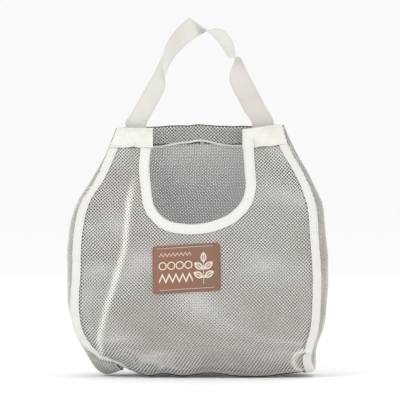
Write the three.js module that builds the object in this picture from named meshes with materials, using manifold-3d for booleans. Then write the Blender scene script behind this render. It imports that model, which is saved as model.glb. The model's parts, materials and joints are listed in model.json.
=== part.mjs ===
// Mesh produce bag: a filled net bag with side gussets, a scooped front mouth, bound seams, cream
// shoulder bands, a sewn label and one webbing strap. Millimetres, +Z up, the front faces -Y.
import * as THREE from 'three';
import { mergeVertices } from 'three/addons/utils/BufferGeometryUtils.js';
import Module from 'manifold-3d';

const wasm = await Module();
wasm.setup();

// ---- Driving sizes ----------------------------------------------------------------------------
const GAP = 0.3;              // clearance between neighbouring edges
const LAY_GAP = 0.65;         // clearance under a piece that is laid on a curved face
const NET_WALL = 1.2;         // wall that stands for the knitted net
const TAPE_WALL = 1.2;        // seam, scoop and shoulder tapes
const HALF_WIDTH = 164.5;     // widest half of the filled bag
const HALF_DEPTH = 74;        // deepest half of the filled bag
const BODY_HEIGHT = 312;      // top edge of the gussets
const SEAM_TAPE = 10.5;       // width of the side seam binding
const SCOOP_TAPE = 12.5;      // width of the binding round the mouth
const SHOULDER_TAPE = 25;     // height of the shoulder bands
const HEM_DEPTH = 22;         // depth of the turned-in top hem
const STRAP_WIDTH = 25;       // webbing width
const STRAP_WALL = 1.4;       // webbing thickness
const STRAP_RISE = 130.8;     // apex of the strap above its hinge line
const FOOT_INSET = 23.1;      // middle of each strap foot, in from the bag's top corner
const HINGE_RISE = 8;         // fold line that the strap swings on, above the gussets' top edge
const TAIL_LENGTH = 24;       // sewn end of the strap
const HEM_WALL = 1;           // net turned to the inside along a top edge
// Sewn label: drop runs from the mouth's lowest point to the label's middle.
const LABEL = { width: 84, height: 59, wall: 1.2, tilt: 3.5, x: -14, drop: 54.8 };

const NET = { color: 0xd9d4ca, roughness: 0.85, metalness: 0 };
const TAPE = { color: 0xf0eee7, roughness: 0.8, metalness: 0 };
const BAND = { color: 0xf0efe2, roughness: 0.8, metalness: 0 };
const WEBBING = { color: 0xe9e5da, roughness: 0.75, metalness: 0 };
const BROWN = { color: 0x96674f, roughness: 0.7, metalness: 0 };

// ---- Shape of the filled bag ------------------------------------------------------------------
// Rows run from above the top edge down the front and under the base. side: [seam x, seam y,
// seam z, outermost x, outermost z] as shares of the half width, half depth and height.
const LEFT = [
  [0.57, 0.10, 1.08, 0.58, 1.08], [0.613, 0.135, 1.00, 0.626, 1.00],
  [0.675, 0.19, 0.913, 0.69, 0.913], [0.766, 0.35, 0.80, 0.80, 0.80],
  [0.89, 0.55, 0.69, 0.935, 0.69], [0.936, 0.66, 0.564, 0.988, 0.564],
  [0.945, 0.72, 0.417, 1.0, 0.417], [0.958, 0.72, 0.29, 0.99, 0.29],
  [0.934, 0.69, 0.20, 0.955, 0.20], [0.863, 0.65, 0.133, 0.90, 0.13],
  [0.742, 0.57, 0.087, 0.835, 0.075], [0.644, 0.49, 0.064, 0.775, 0.028],
  [0.578, 0.34, 0.033, 0.70, 0.007], [0.565, 0.25, 0.029, 0.57, 0.028],
];
const RIGHT = [
  [0.60, 0.10, 1.08, 0.61, 1.08], [0.640, 0.135, 1.012, 0.655, 1.012],
  [0.693, 0.19, 0.923, 0.735, 0.923], [0.811, 0.36, 0.808, 0.857, 0.808],
  [0.893, 0.57, 0.69, 0.955, 0.69], [0.912, 0.675, 0.564, 0.985, 0.564],
  [0.93, 0.73, 0.417, 1.0, 0.417], [0.927, 0.73, 0.29, 0.992, 0.29],
  [0.912, 0.70, 0.20, 0.965, 0.20], [0.88, 0.675, 0.135, 0.925, 0.135],
  [0.857, 0.65, 0.087, 0.908, 0.087], [0.87, 0.59, 0.051, 0.903, 0.045],
  [0.885, 0.48, 0.029, 0.893, 0.022], [0.85, 0.30, 0.026, 0.85, 0.026],
];
// Middle of the panel: [depth share, height share].
const FRONT_MIDDLE = [
  [0.10, 1.07], [0.17, 0.985], [0.33, 0.90], [0.57, 0.80], [0.76, 0.69], [0.90, 0.564],
  [0.98, 0.417], [1.0, 0.29], [0.96, 0.20], [0.90, 0.135], [0.82, 0.08], [0.68, 0.03],
  [0.54, 0.006], [0.40, 0],
];
const BACK_MIDDLE = [
  [0.12, 1.09], [0.185, 1.01], [0.30, 0.91], [0.50, 0.80], [0.70, 0.69], [0.86, 0.564],
  [0.96, 0.417], [1.0, 0.29], [0.96, 0.20], [0.90, 0.135], [0.82, 0.08], [0.68, 0.03],
  [0.54, 0.006], [0.40, 0],
];
const TOP_ROW = 1;            // the row at the top edge
const BASE_ROW = 12;          // front and back turn into the base here
const LAST_ROW = LEFT.length - 1;

// Inner edge of the scooped mouth: [x, depth below the gussets' top edge].
const SCOOP = [
  [-57.5, 0], [-58.5, 22], [-60.5, 50], [-58.5, 72], [-53.5, 98], [-38, 114], [-13, 119.2],
  [14, 116.7], [39, 107], [54, 92], [60, 75], [59, 50], [57.5, 22], [57.5, 3],
].map(([x, below]) => [x, BODY_HEIGHT - below]);
const MOUTH_LOW = Math.min(...SCOOP.map(([, z]) => z));
const MOUTH_REACH = Math.max(...SCOOP.map(([x]) => Math.abs(x)));
const LEFT_TOP = BODY_HEIGHT - 1; // height of the left shoulder
const RIGHT_TOP = [BODY_HEIGHT - 3, BODY_HEIGHT + 4]; // right shoulder, at the mouth and the seam
const HINGE_Z = BODY_HEIGHT + HINGE_RISE;

// Strap edges, from the left foot to the right foot. Each station is one edge's [x, height, depth]
// and the other edge's, from the middle of the hinge line; a smaller depth is nearer the front.
// Both feet lie FOLD_GAP below the line. The table is drawn for webbing DRAWN_WIDTH wide.
const FOLD_GAP = 1.2;
const DRAWN_WIDTH = 25;
const STRAP = [
  [-91.5, -1.2, 0, -63.8, -1.2, 0], [-83, 13, 0, -61, 3.5, 0], [-75, 27, 0, -54.5, 15, 0],
  [-63.6, 47, -0.5, -46, 31, -0.5], [-55.5, 61, -1, -41.8, 40, -1], [-49.5, 73, -2, -40.6, 47.5, -1.5],
  [-45.6, 81.5, -3, -41.2, 52, -2.5], [-43.2, 85.5, -7, -42, 54.5, -6], [-42, 88.5, -12, -41.6, 57, -10.5],
  [-40.8, 94, -15, -39, 62, -13.5], [-38.2, 100, -16, -35, 71, -15], [-33, 109, -15.5, -27.7, 82.6, -15],
  [-24.6, 118.8, -13.5, -17, 94, -13.5], [-14.5, 128.6, -11.5, -0.8, 106.5, -11.5],
  [-10.5, 130.8, -12, 3.4, 109, -10], [-7.2, 128.9, -15.5, 5.7, 110.6, -5.5],
  [0, 123.4, -19.5, 9, 113, 0.5], [8, 117.6, -20.5, 12.6, 115, 3.5], [14.5, 112, -20, 16.4, 116.4, 4.2],
  [21, 105.6, -18, 22, 117.9, 3.5], [27.3, 98.8, -14.5, 29, 117, 2], [32.3, 91.5, -11.5, 36.2, 113, 1],
  [36.4, 84.6, -11.5, 42.3, 105, 1.5], [39.2, 80.6, -14.5, 46, 95, 4], [43.6, 80.4, -17, 47.6, 85.8, 7],
  [50.2, 82, -16, 46.6, 77, 8.5], [54.6, 79.6, -11.5, 43.4, 69.2, 8.5], [57.8, 74, -6.5, 40.6, 61.6, 7],
  [62.6, 63.8, -2.5, 40, 53.6, 4.5], [69, 51.6, -1, 43.2, 42.5, 2], [76.4, 37.2, 0, 49.4, 31, 1],
  [85.4, 20.4, 0, 57.8, 14.6, 0.5], [96.4, -1.2, 0, 68, -1.2, 0],
];

// ---- Small geometry helpers -------------------------------------------------------------------
const shares = (rows, side) => rows.map(([sx, sy, sz, ox, oz]) => ({
  seam: new THREE.Vector3(side * sx * HALF_WIDTH, sy * HALF_DEPTH, sz * BODY_HEIGHT),
  outer: new THREE.Vector3(side * ox * HALF_WIDTH, 0, oz * BODY_HEIGHT),
}));
const left = shares(LEFT, -1), right = shares(RIGHT, 1);

// A smooth curve through points, read by row number.
function rowCurve(points) {
  const curve = new THREE.CatmullRomCurve3(points, false, 'centripetal');
  return (row) => curve.getPoint(THREE.MathUtils.clamp(row / (points.length - 1), 0, 1));
}
const seamOf = { [-1]: rowCurve(left.map((r) => r.seam)), [1]: rowCurve(right.map((r) => r.seam)) };
const outerOf = { [-1]: rowCurve(left.map((r) => r.outer)), [1]: rowCurve(right.map((r) => r.outer)) };
const middleCurve = (rows) => rowCurve(rows.map(([d, h]) => (
  new THREE.Vector3(0, d * HALF_DEPTH, h * BODY_HEIGHT))));
const middleOf = { [-1]: middleCurve(FRONT_MIDDLE), [1]: middleCurve(BACK_MIDDLE) };

const BULGE = 2.4;            // how square the front and back are across
const FLAT_SHARE = 0.68;      // share of the base's width that lies flat
// Front (face -1) and back (face 1): across runs -1 to 1 from the left seam to the right seam.
function panelPoint(face, across, row) {
  const a = seamOf[-1](row), b = seamOf[1](row), m = middleOf[face](row);
  const share = (across + 1) / 2;
  const belly = 1 - Math.abs(across) ** BULGE;
  const seamDepth = THREE.MathUtils.lerp(a.y, b.y, share);
  const seamHeight = THREE.MathUtils.lerp(a.z, b.z, share);
  const under = THREE.MathUtils.smoothstep(row, BASE_ROW - 2, BASE_ROW);
  const floor = 1 - THREE.MathUtils.smoothstep(Math.abs(across), FLAT_SHARE, 1);
  const sag = THREE.MathUtils.lerp(belly, floor, under);
  return new THREE.Vector3(
    THREE.MathUtils.lerp(a.x, b.x, share),
    face * (seamDepth + (m.y - seamDepth) * belly),
    Math.max(0, seamHeight + (m.z - seamHeight) * sag));
}
const BASE_TURN = 0.3;        // share of the base that still curves up into the walls
// Base: along runs -1 to 1 from the front edge to the back edge.
function basePoint(across, along) {
  const row = BASE_ROW + Math.min(1, (1 - Math.abs(along)) / BASE_TURN);
  const edge = panelPoint(Math.sign(along) || 1, across, row);
  const inner = 1 - BASE_TURN;
  if (Math.abs(along) < inner) edge.y *= Math.abs(along) / inner;
  return edge;
}
// Gusset: around runs -1 to 1 from the front seam to the back seam. A sheet on it faces inwards, so
// that its wall stands outside this surface.
function gussetPoint(side, around, row) {
  const seam = seamOf[side](row), out = outerOf[side](row);
  const round = 1 - around * around;
  return new THREE.Vector3(
    seam.x + (out.x - seam.x) * round, seam.y * around, seam.z + (out.z - seam.z) * round);
}

function solid(positions, faces) {
  const geometry = new THREE.BufferGeometry();
  geometry.setAttribute('position', new THREE.Float32BufferAttribute(positions, 3));
  geometry.setIndex(faces);
  return geometry;
}

// A closed sheet on point(u, v). It fills the space from lift to lift - wall along the outward
// normal. flip turns the normal round.
function sheet(point, us, vs, wall, { lift = 0, flip = false } = {}) {
  const step = 1e-3, positions = [[], []], faces = [];
  for (const v of vs) {
    for (const u of us) {
      const p = point(u, v);
      const du = point(u + step, v).sub(point(u - step, v));
      const dv = point(u, v + step).sub(point(u, v - step));
      const normal = du.cross(dv).normalize().multiplyScalar(flip ? -1 : 1);
      positions[0].push(...p.clone().addScaledVector(normal, lift).toArray());
      positions[1].push(...p.clone().addScaledVector(normal, lift - wall).toArray());
    }
  }
  const w = us.length, h = vs.length, under = w * h;
  const quad = (a, b, c, d) => faces.push(...(flip ? [a, c, b, a, d, c] : [a, b, c, a, c, d]));
  for (let j = 0; j + 1 < h; j++) {
    for (let i = 0; i + 1 < w; i++) {
      const a = j * w + i;
      quad(a, a + 1, a + w + 1, a + w);
      quad(under + a, under + a + w, under + a + w + 1, under + a + 1);
    }
  }
  for (let i = 0; i + 1 < w; i++) {
    const last = (h - 1) * w + i;
    quad(i, under + i, under + i + 1, i + 1);
    quad(last, last + 1, under + last + 1, under + last);
  }
  for (let j = 0; j + 1 < h; j++) {
    const a = j * w, b = a + w - 1;
    quad(a, a + w, under + a + w, under + a);
    quad(b, under + b, under + b + w, b + w);
  }
  return solid(positions.flat(), faces);
}

const spaced = (from, to, count) => (
  Array.from({ length: count + 1 }, (_, i) => from + ((to - from) * i) / count));

function toManifold(geometry) {
  const bare = geometry.clone();
  bare.deleteAttribute('normal');
  bare.deleteAttribute('uv');
  const merged = mergeVertices(bare, 1e-4);
  return new wasm.Manifold(new wasm.Mesh({
    numProp: 3,
    vertProperties: new Float32Array(merged.attributes.position.array),
    triVerts: new Uint32Array(merged.index.array),
  }));
}
function fromManifold(body) {
  const mesh = body.getMesh();
  return solid(Array.from(mesh.vertProperties), Array.from(mesh.triVerts));
}

// A prism over an outline in X and Z that runs through the front half of the bag.
function frontPrism(outline) {
  const shape = new THREE.Shape(outline.map(([x, z]) => new THREE.Vector2(x, z)));
  const depth = HALF_DEPTH * 2;
  const geometry = new THREE.ExtrudeGeometry(shape, { depth, bevelEnabled: false });
  return toManifold(geometry.rotateX(Math.PI / 2));
}

const SCOOP_STEPS = 34;
function scoopEdge(offset) {
  const points = SCOOP.map(([x, z]) => new THREE.Vector3(x, z, 0));
  const curve = new THREE.CatmullRomCurve3(points, false, 'centripetal');
  return spaced(0, 1, SCOOP_STEPS).map((t) => {
    const p = curve.getPoint(t), d = curve.getTangent(t);
    return [p.x + d.y * offset, p.y - d.x * offset];
  });
}

// Everything above the shoulders and inside the mouth, with the mouth's edge moved out by offset.
const CLEAR_TOP = BODY_HEIGHT * 1.3; // above every front piece
function mouthCutter(offset) {
  const edge = scoopEdge(offset);
  const [rightMouth, rightSeam] = RIGHT_TOP;
  const from = [edge[0][0], LEFT_TOP], to = [edge.at(-1)[0], rightMouth];
  return frontPrism([[-HALF_WIDTH, LEFT_TOP], from, ...edge.slice(1, -1), to,
    [right[TOP_ROW].seam.x, rightSeam], [HALF_WIDTH, rightSeam],
    [HALF_WIDTH, CLEAR_TOP], [-HALF_WIDTH, CLEAR_TOP]]);
}

// The strip of net that runs down the front, under the base and up the back. along counts the
// front's rows, then BASE_SPAN for the base, then the back's rows from the base to the top.
const BASE_SPAN = 2;
const FRONT_END = BASE_ROW, BACK_START = BASE_ROW + BASE_SPAN;
const STRIP_END = BACK_START + BASE_ROW;
function stripPoint(across, along) {
  if (along <= FRONT_END) return panelPoint(-1, across, along);
  if (along < BACK_START) return basePoint(across, along - FRONT_END - BASE_SPAN / 2);
  return panelPoint(1, across, STRIP_END - along);
}
const stripSheet = (us, vs, wall, lift = 0) => (
  sheet(stripPoint, us, vs, wall, { lift, flip: true }));

// The point of the front (face -1) or back (face 1) at a given x and height.
function faceAt(face, x, z) {
  let above = 0, below = BASE_ROW, point;
  for (let i = 0; i < 30; i++) {
    const row = (above + below) / 2, a = seamOf[-1](row).x, b = seamOf[1](row).x;
    point = panelPoint(face, (2 * (x - a)) / (b - a) - 1, row);
    if (point.z > z) above = row; else below = row;
  }
  return point;
}
// A block that follows the face over a four-sided patch: corner(u, v) gives [x, z].
function facePatch(face, corner, nu, nv, wall, lift) {
  return sheet((u, v) => faceAt(face, ...corner(u, v)), spaced(0, 1, nu), spaced(0, 1, nv), wall,
    { lift, flip: face < 0 });
}

// ---- Pieces -----------------------------------------------------------------------------------
const EDGE_INSET = 0.004;     // keeps the panels' side edges off the seam line
const ROW_GAP = 0.02;         // half of the slit between the walls and the base, in rows
const EDGE_COVER = 1.6;       // net edge behind the fold of the mouth's tape
const FRONT_STEPS = 24, BACK_STEPS = 22;
const netAcross = (count) => spaced(-1 + EDGE_INSET, 1 - EDGE_INSET, count);
const FRONT_ROWS = spaced(TOP_ROW, FRONT_END, 22);
const BASE_ROWS = [0, 0.5, 1].map((share) => FRONT_END + share * BASE_TURN)
  .flatMap((row) => [row, FRONT_END + BACK_START - row]).concat((FRONT_END + BACK_START) / 2)
  .sort((a, b) => a - b);
const BACK_ROWS = FRONT_ROWS.map((row) => STRIP_END - row).reverse();
// Rows of one panel, whose first and last ones stop short of its neighbours.
const trimmed = (rows, from, to) => [from, ...rows.slice(1, -1), to];

function frontPanel() {
  const rows = [0, ...trimmed(FRONT_ROWS, TOP_ROW, FRONT_END - ROW_GAP)];
  const whole = stripSheet(netAcross(FRONT_STEPS), rows, NET_WALL);
  return fromManifold(toManifold(whole).subtract(mouthCutter(EDGE_COVER)));
}

function backPanel() {
  const rows = trimmed(BACK_ROWS, BACK_START + ROW_GAP, BACK_ROWS.at(-1));
  return stripSheet(netAcross(BACK_STEPS), rows, NET_WALL);
}

function basePanel() {
  const slit = ROW_GAP * BASE_TURN;
  const rows = trimmed(BASE_ROWS, FRONT_END + slit, BACK_START - slit);
  return stripSheet(netAcross(BACK_STEPS), rows, NET_WALL);
}

const GUSSET_INSET = 0.035;   // keeps the gusset's inner faces clear of the front's and back's
function gusset(side) {
  return sheet((u, v) => gussetPoint(side, u, v),
    spaced(-1 + GUSSET_INSET, 1 - GUSSET_INSET, 8), spaced(TOP_ROW, LAST_ROW, 20), NET_WALL,
    { flip: side < 0 });
}

const TAPE_INSET = 0.4;       // seam tape's outer edge, in from the seam line
// Tape folded flat over the seam between the strip and a gusset, from the front's top edge down,
// under the base and up to the back's top edge.
function seamBinding(side) {
  const point = (u, v) => {
    const near = stripPoint(side, v), step = 0.01;
    const speed = near.distanceTo(stripPoint(side * (1 - step), v)) / step;
    return stripPoint(side * (1 - u / speed), v);
  };
  const rows = [...FRONT_ROWS, ...BASE_ROWS.slice(1), ...BACK_ROWS.slice(1)];
  return sheet(point, spaced(TAPE_INSET, TAPE_INSET + SEAM_TAPE, 2), rows, TAPE_WALL,
    { lift: LAY_GAP + TAPE_WALL, flip: side < 0 });
}

const FOLD = LAY_GAP + TAPE_WALL;
const slotWall = NET_WALL + 2 * LAY_GAP, foldWall = NET_WALL + 2 * FOLD;

// Bias tape folded over the cut edge of the mouth, down one side, round and up the other.
function scoopBinding() {
  const low = MOUTH_LOW - 2 * SCOOP_TAPE;
  const top = Math.min(LEFT_TOP, RIGHT_TOP[0]) - SHOULDER_TAPE - GAP;
  const reach = MOUTH_REACH + 1.5 * SCOOP_TAPE;
  const block = (wall, lift, high) => toManifold(facePatch(-1,
    (u, v) => [reach * (2 * u - 1), high + (low - high) * v], 16, 12, wall, lift));
  const tape = block(foldWall, FOLD, top).intersect(mouthCutter(SCOOP_TAPE - 0.01))
    .subtract(mouthCutter(0));
  const slot = block(slotWall, LAY_GAP, top + 1).subtract(mouthCutter(EDGE_COVER - GAP));
  return fromManifold(tape.subtract(slot));
}

// The seam's x at a given height, and a patch's corners in the order that faces it forward.
function seamX(side, z) {
  let above = 0, below = BASE_ROW;
  for (let i = 0; i < 30; i++) {
    const row = (above + below) / 2;
    if (seamOf[side](row).z > z) above = row; else below = row;
  }
  return seamOf[side](above).x;
}
const flipFor = (side, corner) => (side < 0 ? (u, v) => corner(1 - u, v) : corner);

// Cream tape folded over the top edge of a front shoulder, between the mouth and the side seam.
function shoulderBand(side) {
  const inner = side < 0 ? SCOOP[0][0] : SCOOP.at(-1)[0];
  const [low, high] = side < 0 ? [LEFT_TOP, LEFT_TOP] : RIGHT_TOP;
  const outer = (z) => {
    const slope = (seamX(side, z + 1) - seamX(side, z - 1)) / 2;
    return seamX(side, z) - side * (SEAM_TAPE * Math.hypot(1, slope) + 3 * GAP);
  };
  const corner = (rise, drop, spill) => (u, v) => {
    const end = u * (1 + 2 * spill) - spill;
    const edge = low + (high - low) * u;
    const z = edge + rise - (SHOULDER_TAPE + rise + drop) * v;
    return [inner + (outer(z) - inner) * end, z];
  };
  const block = (shape, wall, lift) => (
    toManifold(facePatch(-1, flipFor(side, shape), 5, 4, wall, lift)));
  return fromManifold(block(corner(FOLD, 0, 0), foldWall, FOLD)
    .subtract(block(corner(LAY_GAP, 1, 0.1), slotWall, LAY_GAP)));
}

const hemEnd = (rowPoint) => {
  let row = TOP_ROW;
  while (rowPoint(TOP_ROW).distanceTo(rowPoint(row)) < HEM_DEPTH) row += 0.01;
  return row;
};
const BACK_HEM_REACH = 0.94, SIDE_HEM_REACH = 0.62; // shares of the panel's width
function backHem() {
  const end = hemEnd((row) => panelPoint(1, 0, row));
  return sheet((u, v) => panelPoint(1, u, v), spaced(-BACK_HEM_REACH, BACK_HEM_REACH, 16),
    spaced(TOP_ROW, end, 3), HEM_WALL, { lift: -NET_WALL - LAY_GAP });
}
function sideHem(side) {
  const end = hemEnd((row) => gussetPoint(side, 0, row));
  return sheet((u, v) => gussetPoint(side, u, v), spaced(-SIDE_HEM_REACH, SIDE_HEM_REACH, 4),
    spaced(TOP_ROW, end, 3), HEM_WALL, { lift: HEM_WALL + LAY_GAP, flip: side < 0 });
}

// The webbing's sewn ends, flat against the inside of the back hem. They stop TAIL_GAP short of
// the strap, which stands in their plane.
const TAIL_GAP = 0.1;
const TAIL_TOP = HINGE_Z - FOLD_GAP - TAIL_GAP;
const TAIL_LIFT = -NET_WALL - HEM_WALL - 2 * LAY_GAP;
const footX = (side) => seamOf[side](TOP_ROW).x - side * FOOT_INSET;
function strapTail(side) {
  const corner = (u, v) => [footX(side) + STRAP_WIDTH * (u - 0.5), TAIL_TOP - TAIL_LENGTH * v];
  return facePatch(1, corner, 3, 4, STRAP_WALL, TAIL_LIFT);
}
const HINGE_Y = (faceAt(1, footX(-1), TAIL_TOP).y + faceAt(1, footX(1), TAIL_TOP).y) / 2
  + TAIL_LIFT - STRAP_WALL / 2;

// One length of webbing with a folded step on its left and two half twists. Its middle line is
// stretched to the feet and to the rise, and its width is its own.
function strap() {
  const vector = ([x, height, depth]) => new THREE.Vector3(x, depth, height);
  const pairs = STRAP.map((s) => [vector(s.slice(0, 3)), vector(s.slice(3))]);
  const middles = pairs.map(([a, b]) => a.clone().lerp(b, 0.5));
  const rise = STRAP_RISE / Math.max(...STRAP.flatMap((s) => [s[1], s[4]]));
  const edge = (end) => rowCurve(pairs.map((pair, i) => {
    const middle = middles[i], half = pair[end].clone().sub(middle);
    const x = THREE.MathUtils.mapLinear(
      middle.x, middles[0].x, middles.at(-1).x, footX(-1), footX(1));
    const height = middle.z > 0 ? middle.z * rise : middle.z;
    return new THREE.Vector3(x, HINGE_Y + middle.y, HINGE_Z + height)
      .addScaledVector(half, STRAP_WIDTH / DRAWN_WIDTH);
  }));
  const first = edge(0), second = edge(1);
  const point = (u, v) => first(v).lerp(second(v), u);
  return sheet(point, [0, 0.5, 1], spaced(0, STRAP.length - 1, 2 * (STRAP.length - 1)),
    STRAP_WALL, { lift: STRAP_WALL / 2, flip: true });
}

function label() {
  const angle = THREE.MathUtils.degToRad(LABEL.tilt), cos = Math.cos(angle), sin = Math.sin(angle);
  const corner = (u, v) => {
    const x = LABEL.width * (u - 0.5), z = LABEL.height * (0.5 - v);
    return [LABEL.x + x * cos - z * sin, MOUTH_LOW - LABEL.drop + x * sin + z * cos];
  };
  return facePatch(-1, corner, 6, 4, LABEL.wall, LAY_GAP + LABEL.wall);
}

const group = new THREE.Group();
function add(name, geometry, look) {
  const mesh = new THREE.Mesh(geometry, new THREE.MeshStandardMaterial(look));
  mesh.name = name;
  group.add(mesh);
}

add('front_mesh_panel', frontPanel(), NET);
add('back_mesh_panel', backPanel(), NET);
add('base_mesh_panel', basePanel(), NET);
for (const [word, side] of [['left', -1], ['right', 1]]) {
  add(`${word}_side_panel`, gusset(side), NET);
  add(`${word}_side_hem`, sideHem(side), NET);
  add(`${word}_seam_binding`, seamBinding(side), TAPE);
  add(`${word}_shoulder_band`, shoulderBand(side), BAND);
  add(`${word}_strap_tail`, strapTail(side), WEBBING);
}
add('back_top_hem', backHem(), NET);
add('scoop_binding', scoopBinding(), TAPE);
add('strap', strap(), WEBBING);
add('label', label(), BROWN);

export default group;
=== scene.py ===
import json
import math

import bpy
import numpy as np
from bpy.props import FloatProperty, FloatVectorProperty, PointerProperty
from bpy.types import Operator, Panel, PropertyGroup
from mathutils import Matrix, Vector


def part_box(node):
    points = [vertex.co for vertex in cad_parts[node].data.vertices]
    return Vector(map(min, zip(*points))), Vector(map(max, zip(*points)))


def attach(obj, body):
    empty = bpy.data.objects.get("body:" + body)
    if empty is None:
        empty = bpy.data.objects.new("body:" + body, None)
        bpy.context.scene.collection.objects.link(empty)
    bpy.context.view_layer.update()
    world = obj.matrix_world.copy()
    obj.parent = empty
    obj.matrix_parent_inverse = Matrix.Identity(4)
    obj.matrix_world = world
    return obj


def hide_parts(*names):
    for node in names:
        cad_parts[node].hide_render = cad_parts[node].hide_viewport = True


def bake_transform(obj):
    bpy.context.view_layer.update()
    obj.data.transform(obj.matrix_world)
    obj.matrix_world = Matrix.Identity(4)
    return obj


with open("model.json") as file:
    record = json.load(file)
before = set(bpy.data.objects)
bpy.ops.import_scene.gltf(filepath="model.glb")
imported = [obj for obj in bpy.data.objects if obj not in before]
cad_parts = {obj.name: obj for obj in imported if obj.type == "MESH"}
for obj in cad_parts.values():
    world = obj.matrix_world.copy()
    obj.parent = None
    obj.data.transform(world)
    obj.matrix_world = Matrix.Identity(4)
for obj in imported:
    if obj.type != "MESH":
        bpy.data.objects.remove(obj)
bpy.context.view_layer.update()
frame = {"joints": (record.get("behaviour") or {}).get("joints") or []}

# Mesh produce bag: a filled net bag with bound seams, a scooped front mouth, cream shoulder bands,
# a sewn label and one twisted webbing strap. Metres, +Z up, the front faces -Y.

bl_info = {
    "name": "Mesh Produce Bag",
    "version": (1, 0, 0),
    "blender": (4, 5, 0),
    "location": "View3D > Sidebar > Produce Bag",
    "description": "Knits, binds and sews a filled mesh produce bag round its frame",
    "category": "Add Mesh",
}

# ---- Shape of the filled bag --------------------------------------------------------------------
MM = 0.001
HALF_WIDTH, HALF_DEPTH, BODY_HEIGHT = 164.5 * MM, 74 * MM, 312 * MM
HINGE_Y, HINGE_Z = (frame["joints"][0]["pos_m"][axis] for axis in (1, 2))

# Rows run from above the top edge down the front and under the base. Each side row is [seam x,
# seam y, seam z, outermost x, outermost z] as shares of the half width, half depth and height.
LEFT = [
    [0.57, 0.10, 1.08, 0.58, 1.08], [0.613, 0.135, 1.00, 0.626, 1.00],
    [0.675, 0.19, 0.913, 0.69, 0.913], [0.766, 0.35, 0.80, 0.80, 0.80],
    [0.89, 0.55, 0.69, 0.935, 0.69], [0.936, 0.66, 0.564, 0.988, 0.564],
    [0.945, 0.72, 0.417, 1.0, 0.417], [0.958, 0.72, 0.29, 0.99, 0.29],
    [0.934, 0.69, 0.20, 0.955, 0.20], [0.863, 0.65, 0.133, 0.90, 0.13],
    [0.742, 0.57, 0.087, 0.835, 0.075], [0.644, 0.49, 0.064, 0.775, 0.028],
    [0.578, 0.34, 0.033, 0.70, 0.007], [0.565, 0.25, 0.029, 0.57, 0.028],
]
RIGHT = [
    [0.60, 0.10, 1.08, 0.61, 1.08], [0.640, 0.135, 1.012, 0.655, 1.012],
    [0.693, 0.19, 0.923, 0.735, 0.923], [0.811, 0.36, 0.808, 0.857, 0.808],
    [0.893, 0.57, 0.69, 0.955, 0.69], [0.912, 0.675, 0.564, 0.985, 0.564],
    [0.93, 0.73, 0.417, 1.0, 0.417], [0.927, 0.73, 0.29, 0.992, 0.29],
    [0.912, 0.70, 0.20, 0.965, 0.20], [0.88, 0.675, 0.135, 0.925, 0.135],
    [0.857, 0.65, 0.087, 0.908, 0.087], [0.87, 0.59, 0.051, 0.903, 0.045],
    [0.885, 0.48, 0.029, 0.893, 0.022], [0.85, 0.30, 0.026, 0.85, 0.026],
]
# Middle of the panel: [depth share, height share].
FRONT_MIDDLE = [
    [0.10, 1.07], [0.17, 0.985], [0.33, 0.90], [0.57, 0.80], [0.76, 0.69], [0.90, 0.564],
    [0.98, 0.417], [1.0, 0.29], [0.96, 0.20], [0.90, 0.135], [0.82, 0.08], [0.68, 0.03],
    [0.54, 0.006], [0.40, 0],
]
BACK_MIDDLE = [
    [0.12, 1.09], [0.185, 1.01], [0.30, 0.91], [0.50, 0.80], [0.70, 0.69], [0.86, 0.564],
    [0.96, 0.417], [1.0, 0.29], [0.96, 0.20], [0.90, 0.135], [0.82, 0.08], [0.68, 0.03],
    [0.54, 0.006], [0.40, 0],
]
SIDES = ("left", -1), ("right", 1)
TOP_ROW, BASE_ROW, LAST_ROW = 1, 12, 13
BASE_SPAN = 2                 # rows that the base takes between the front's and the back's
FRONT_END, BACK_START = BASE_ROW, BASE_ROW + BASE_SPAN
STRIP_END = BACK_START + BASE_ROW
BULGE = 2.4                   # how square the front and back are across
FLAT_SHARE = 0.68             # share of the base's width that lies flat
BASE_TURN = 0.3               # share of the base that still curves up into the walls
WIDEST_ROW = 7                # row at the bag's widest place

# Inner edge of the scooped mouth: [x, depth below the gussets' top edge], in millimetres.
SCOOP = [
    [-57.5, 0], [-58.5, 22], [-60.5, 50], [-58.5, 72], [-53.5, 98], [-38, 114], [-13, 119.2],
    [14, 116.7], [39, 107], [54, 92], [60, 75], [59, 50], [57.5, 22], [57.5, 3],
]
LEFT_TOP = BODY_HEIGHT - 1 * MM
RIGHT_TOP = [BODY_HEIGHT - 3 * MM, BODY_HEIGHT + 4 * MM]  # at the mouth and at the seam

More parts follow.
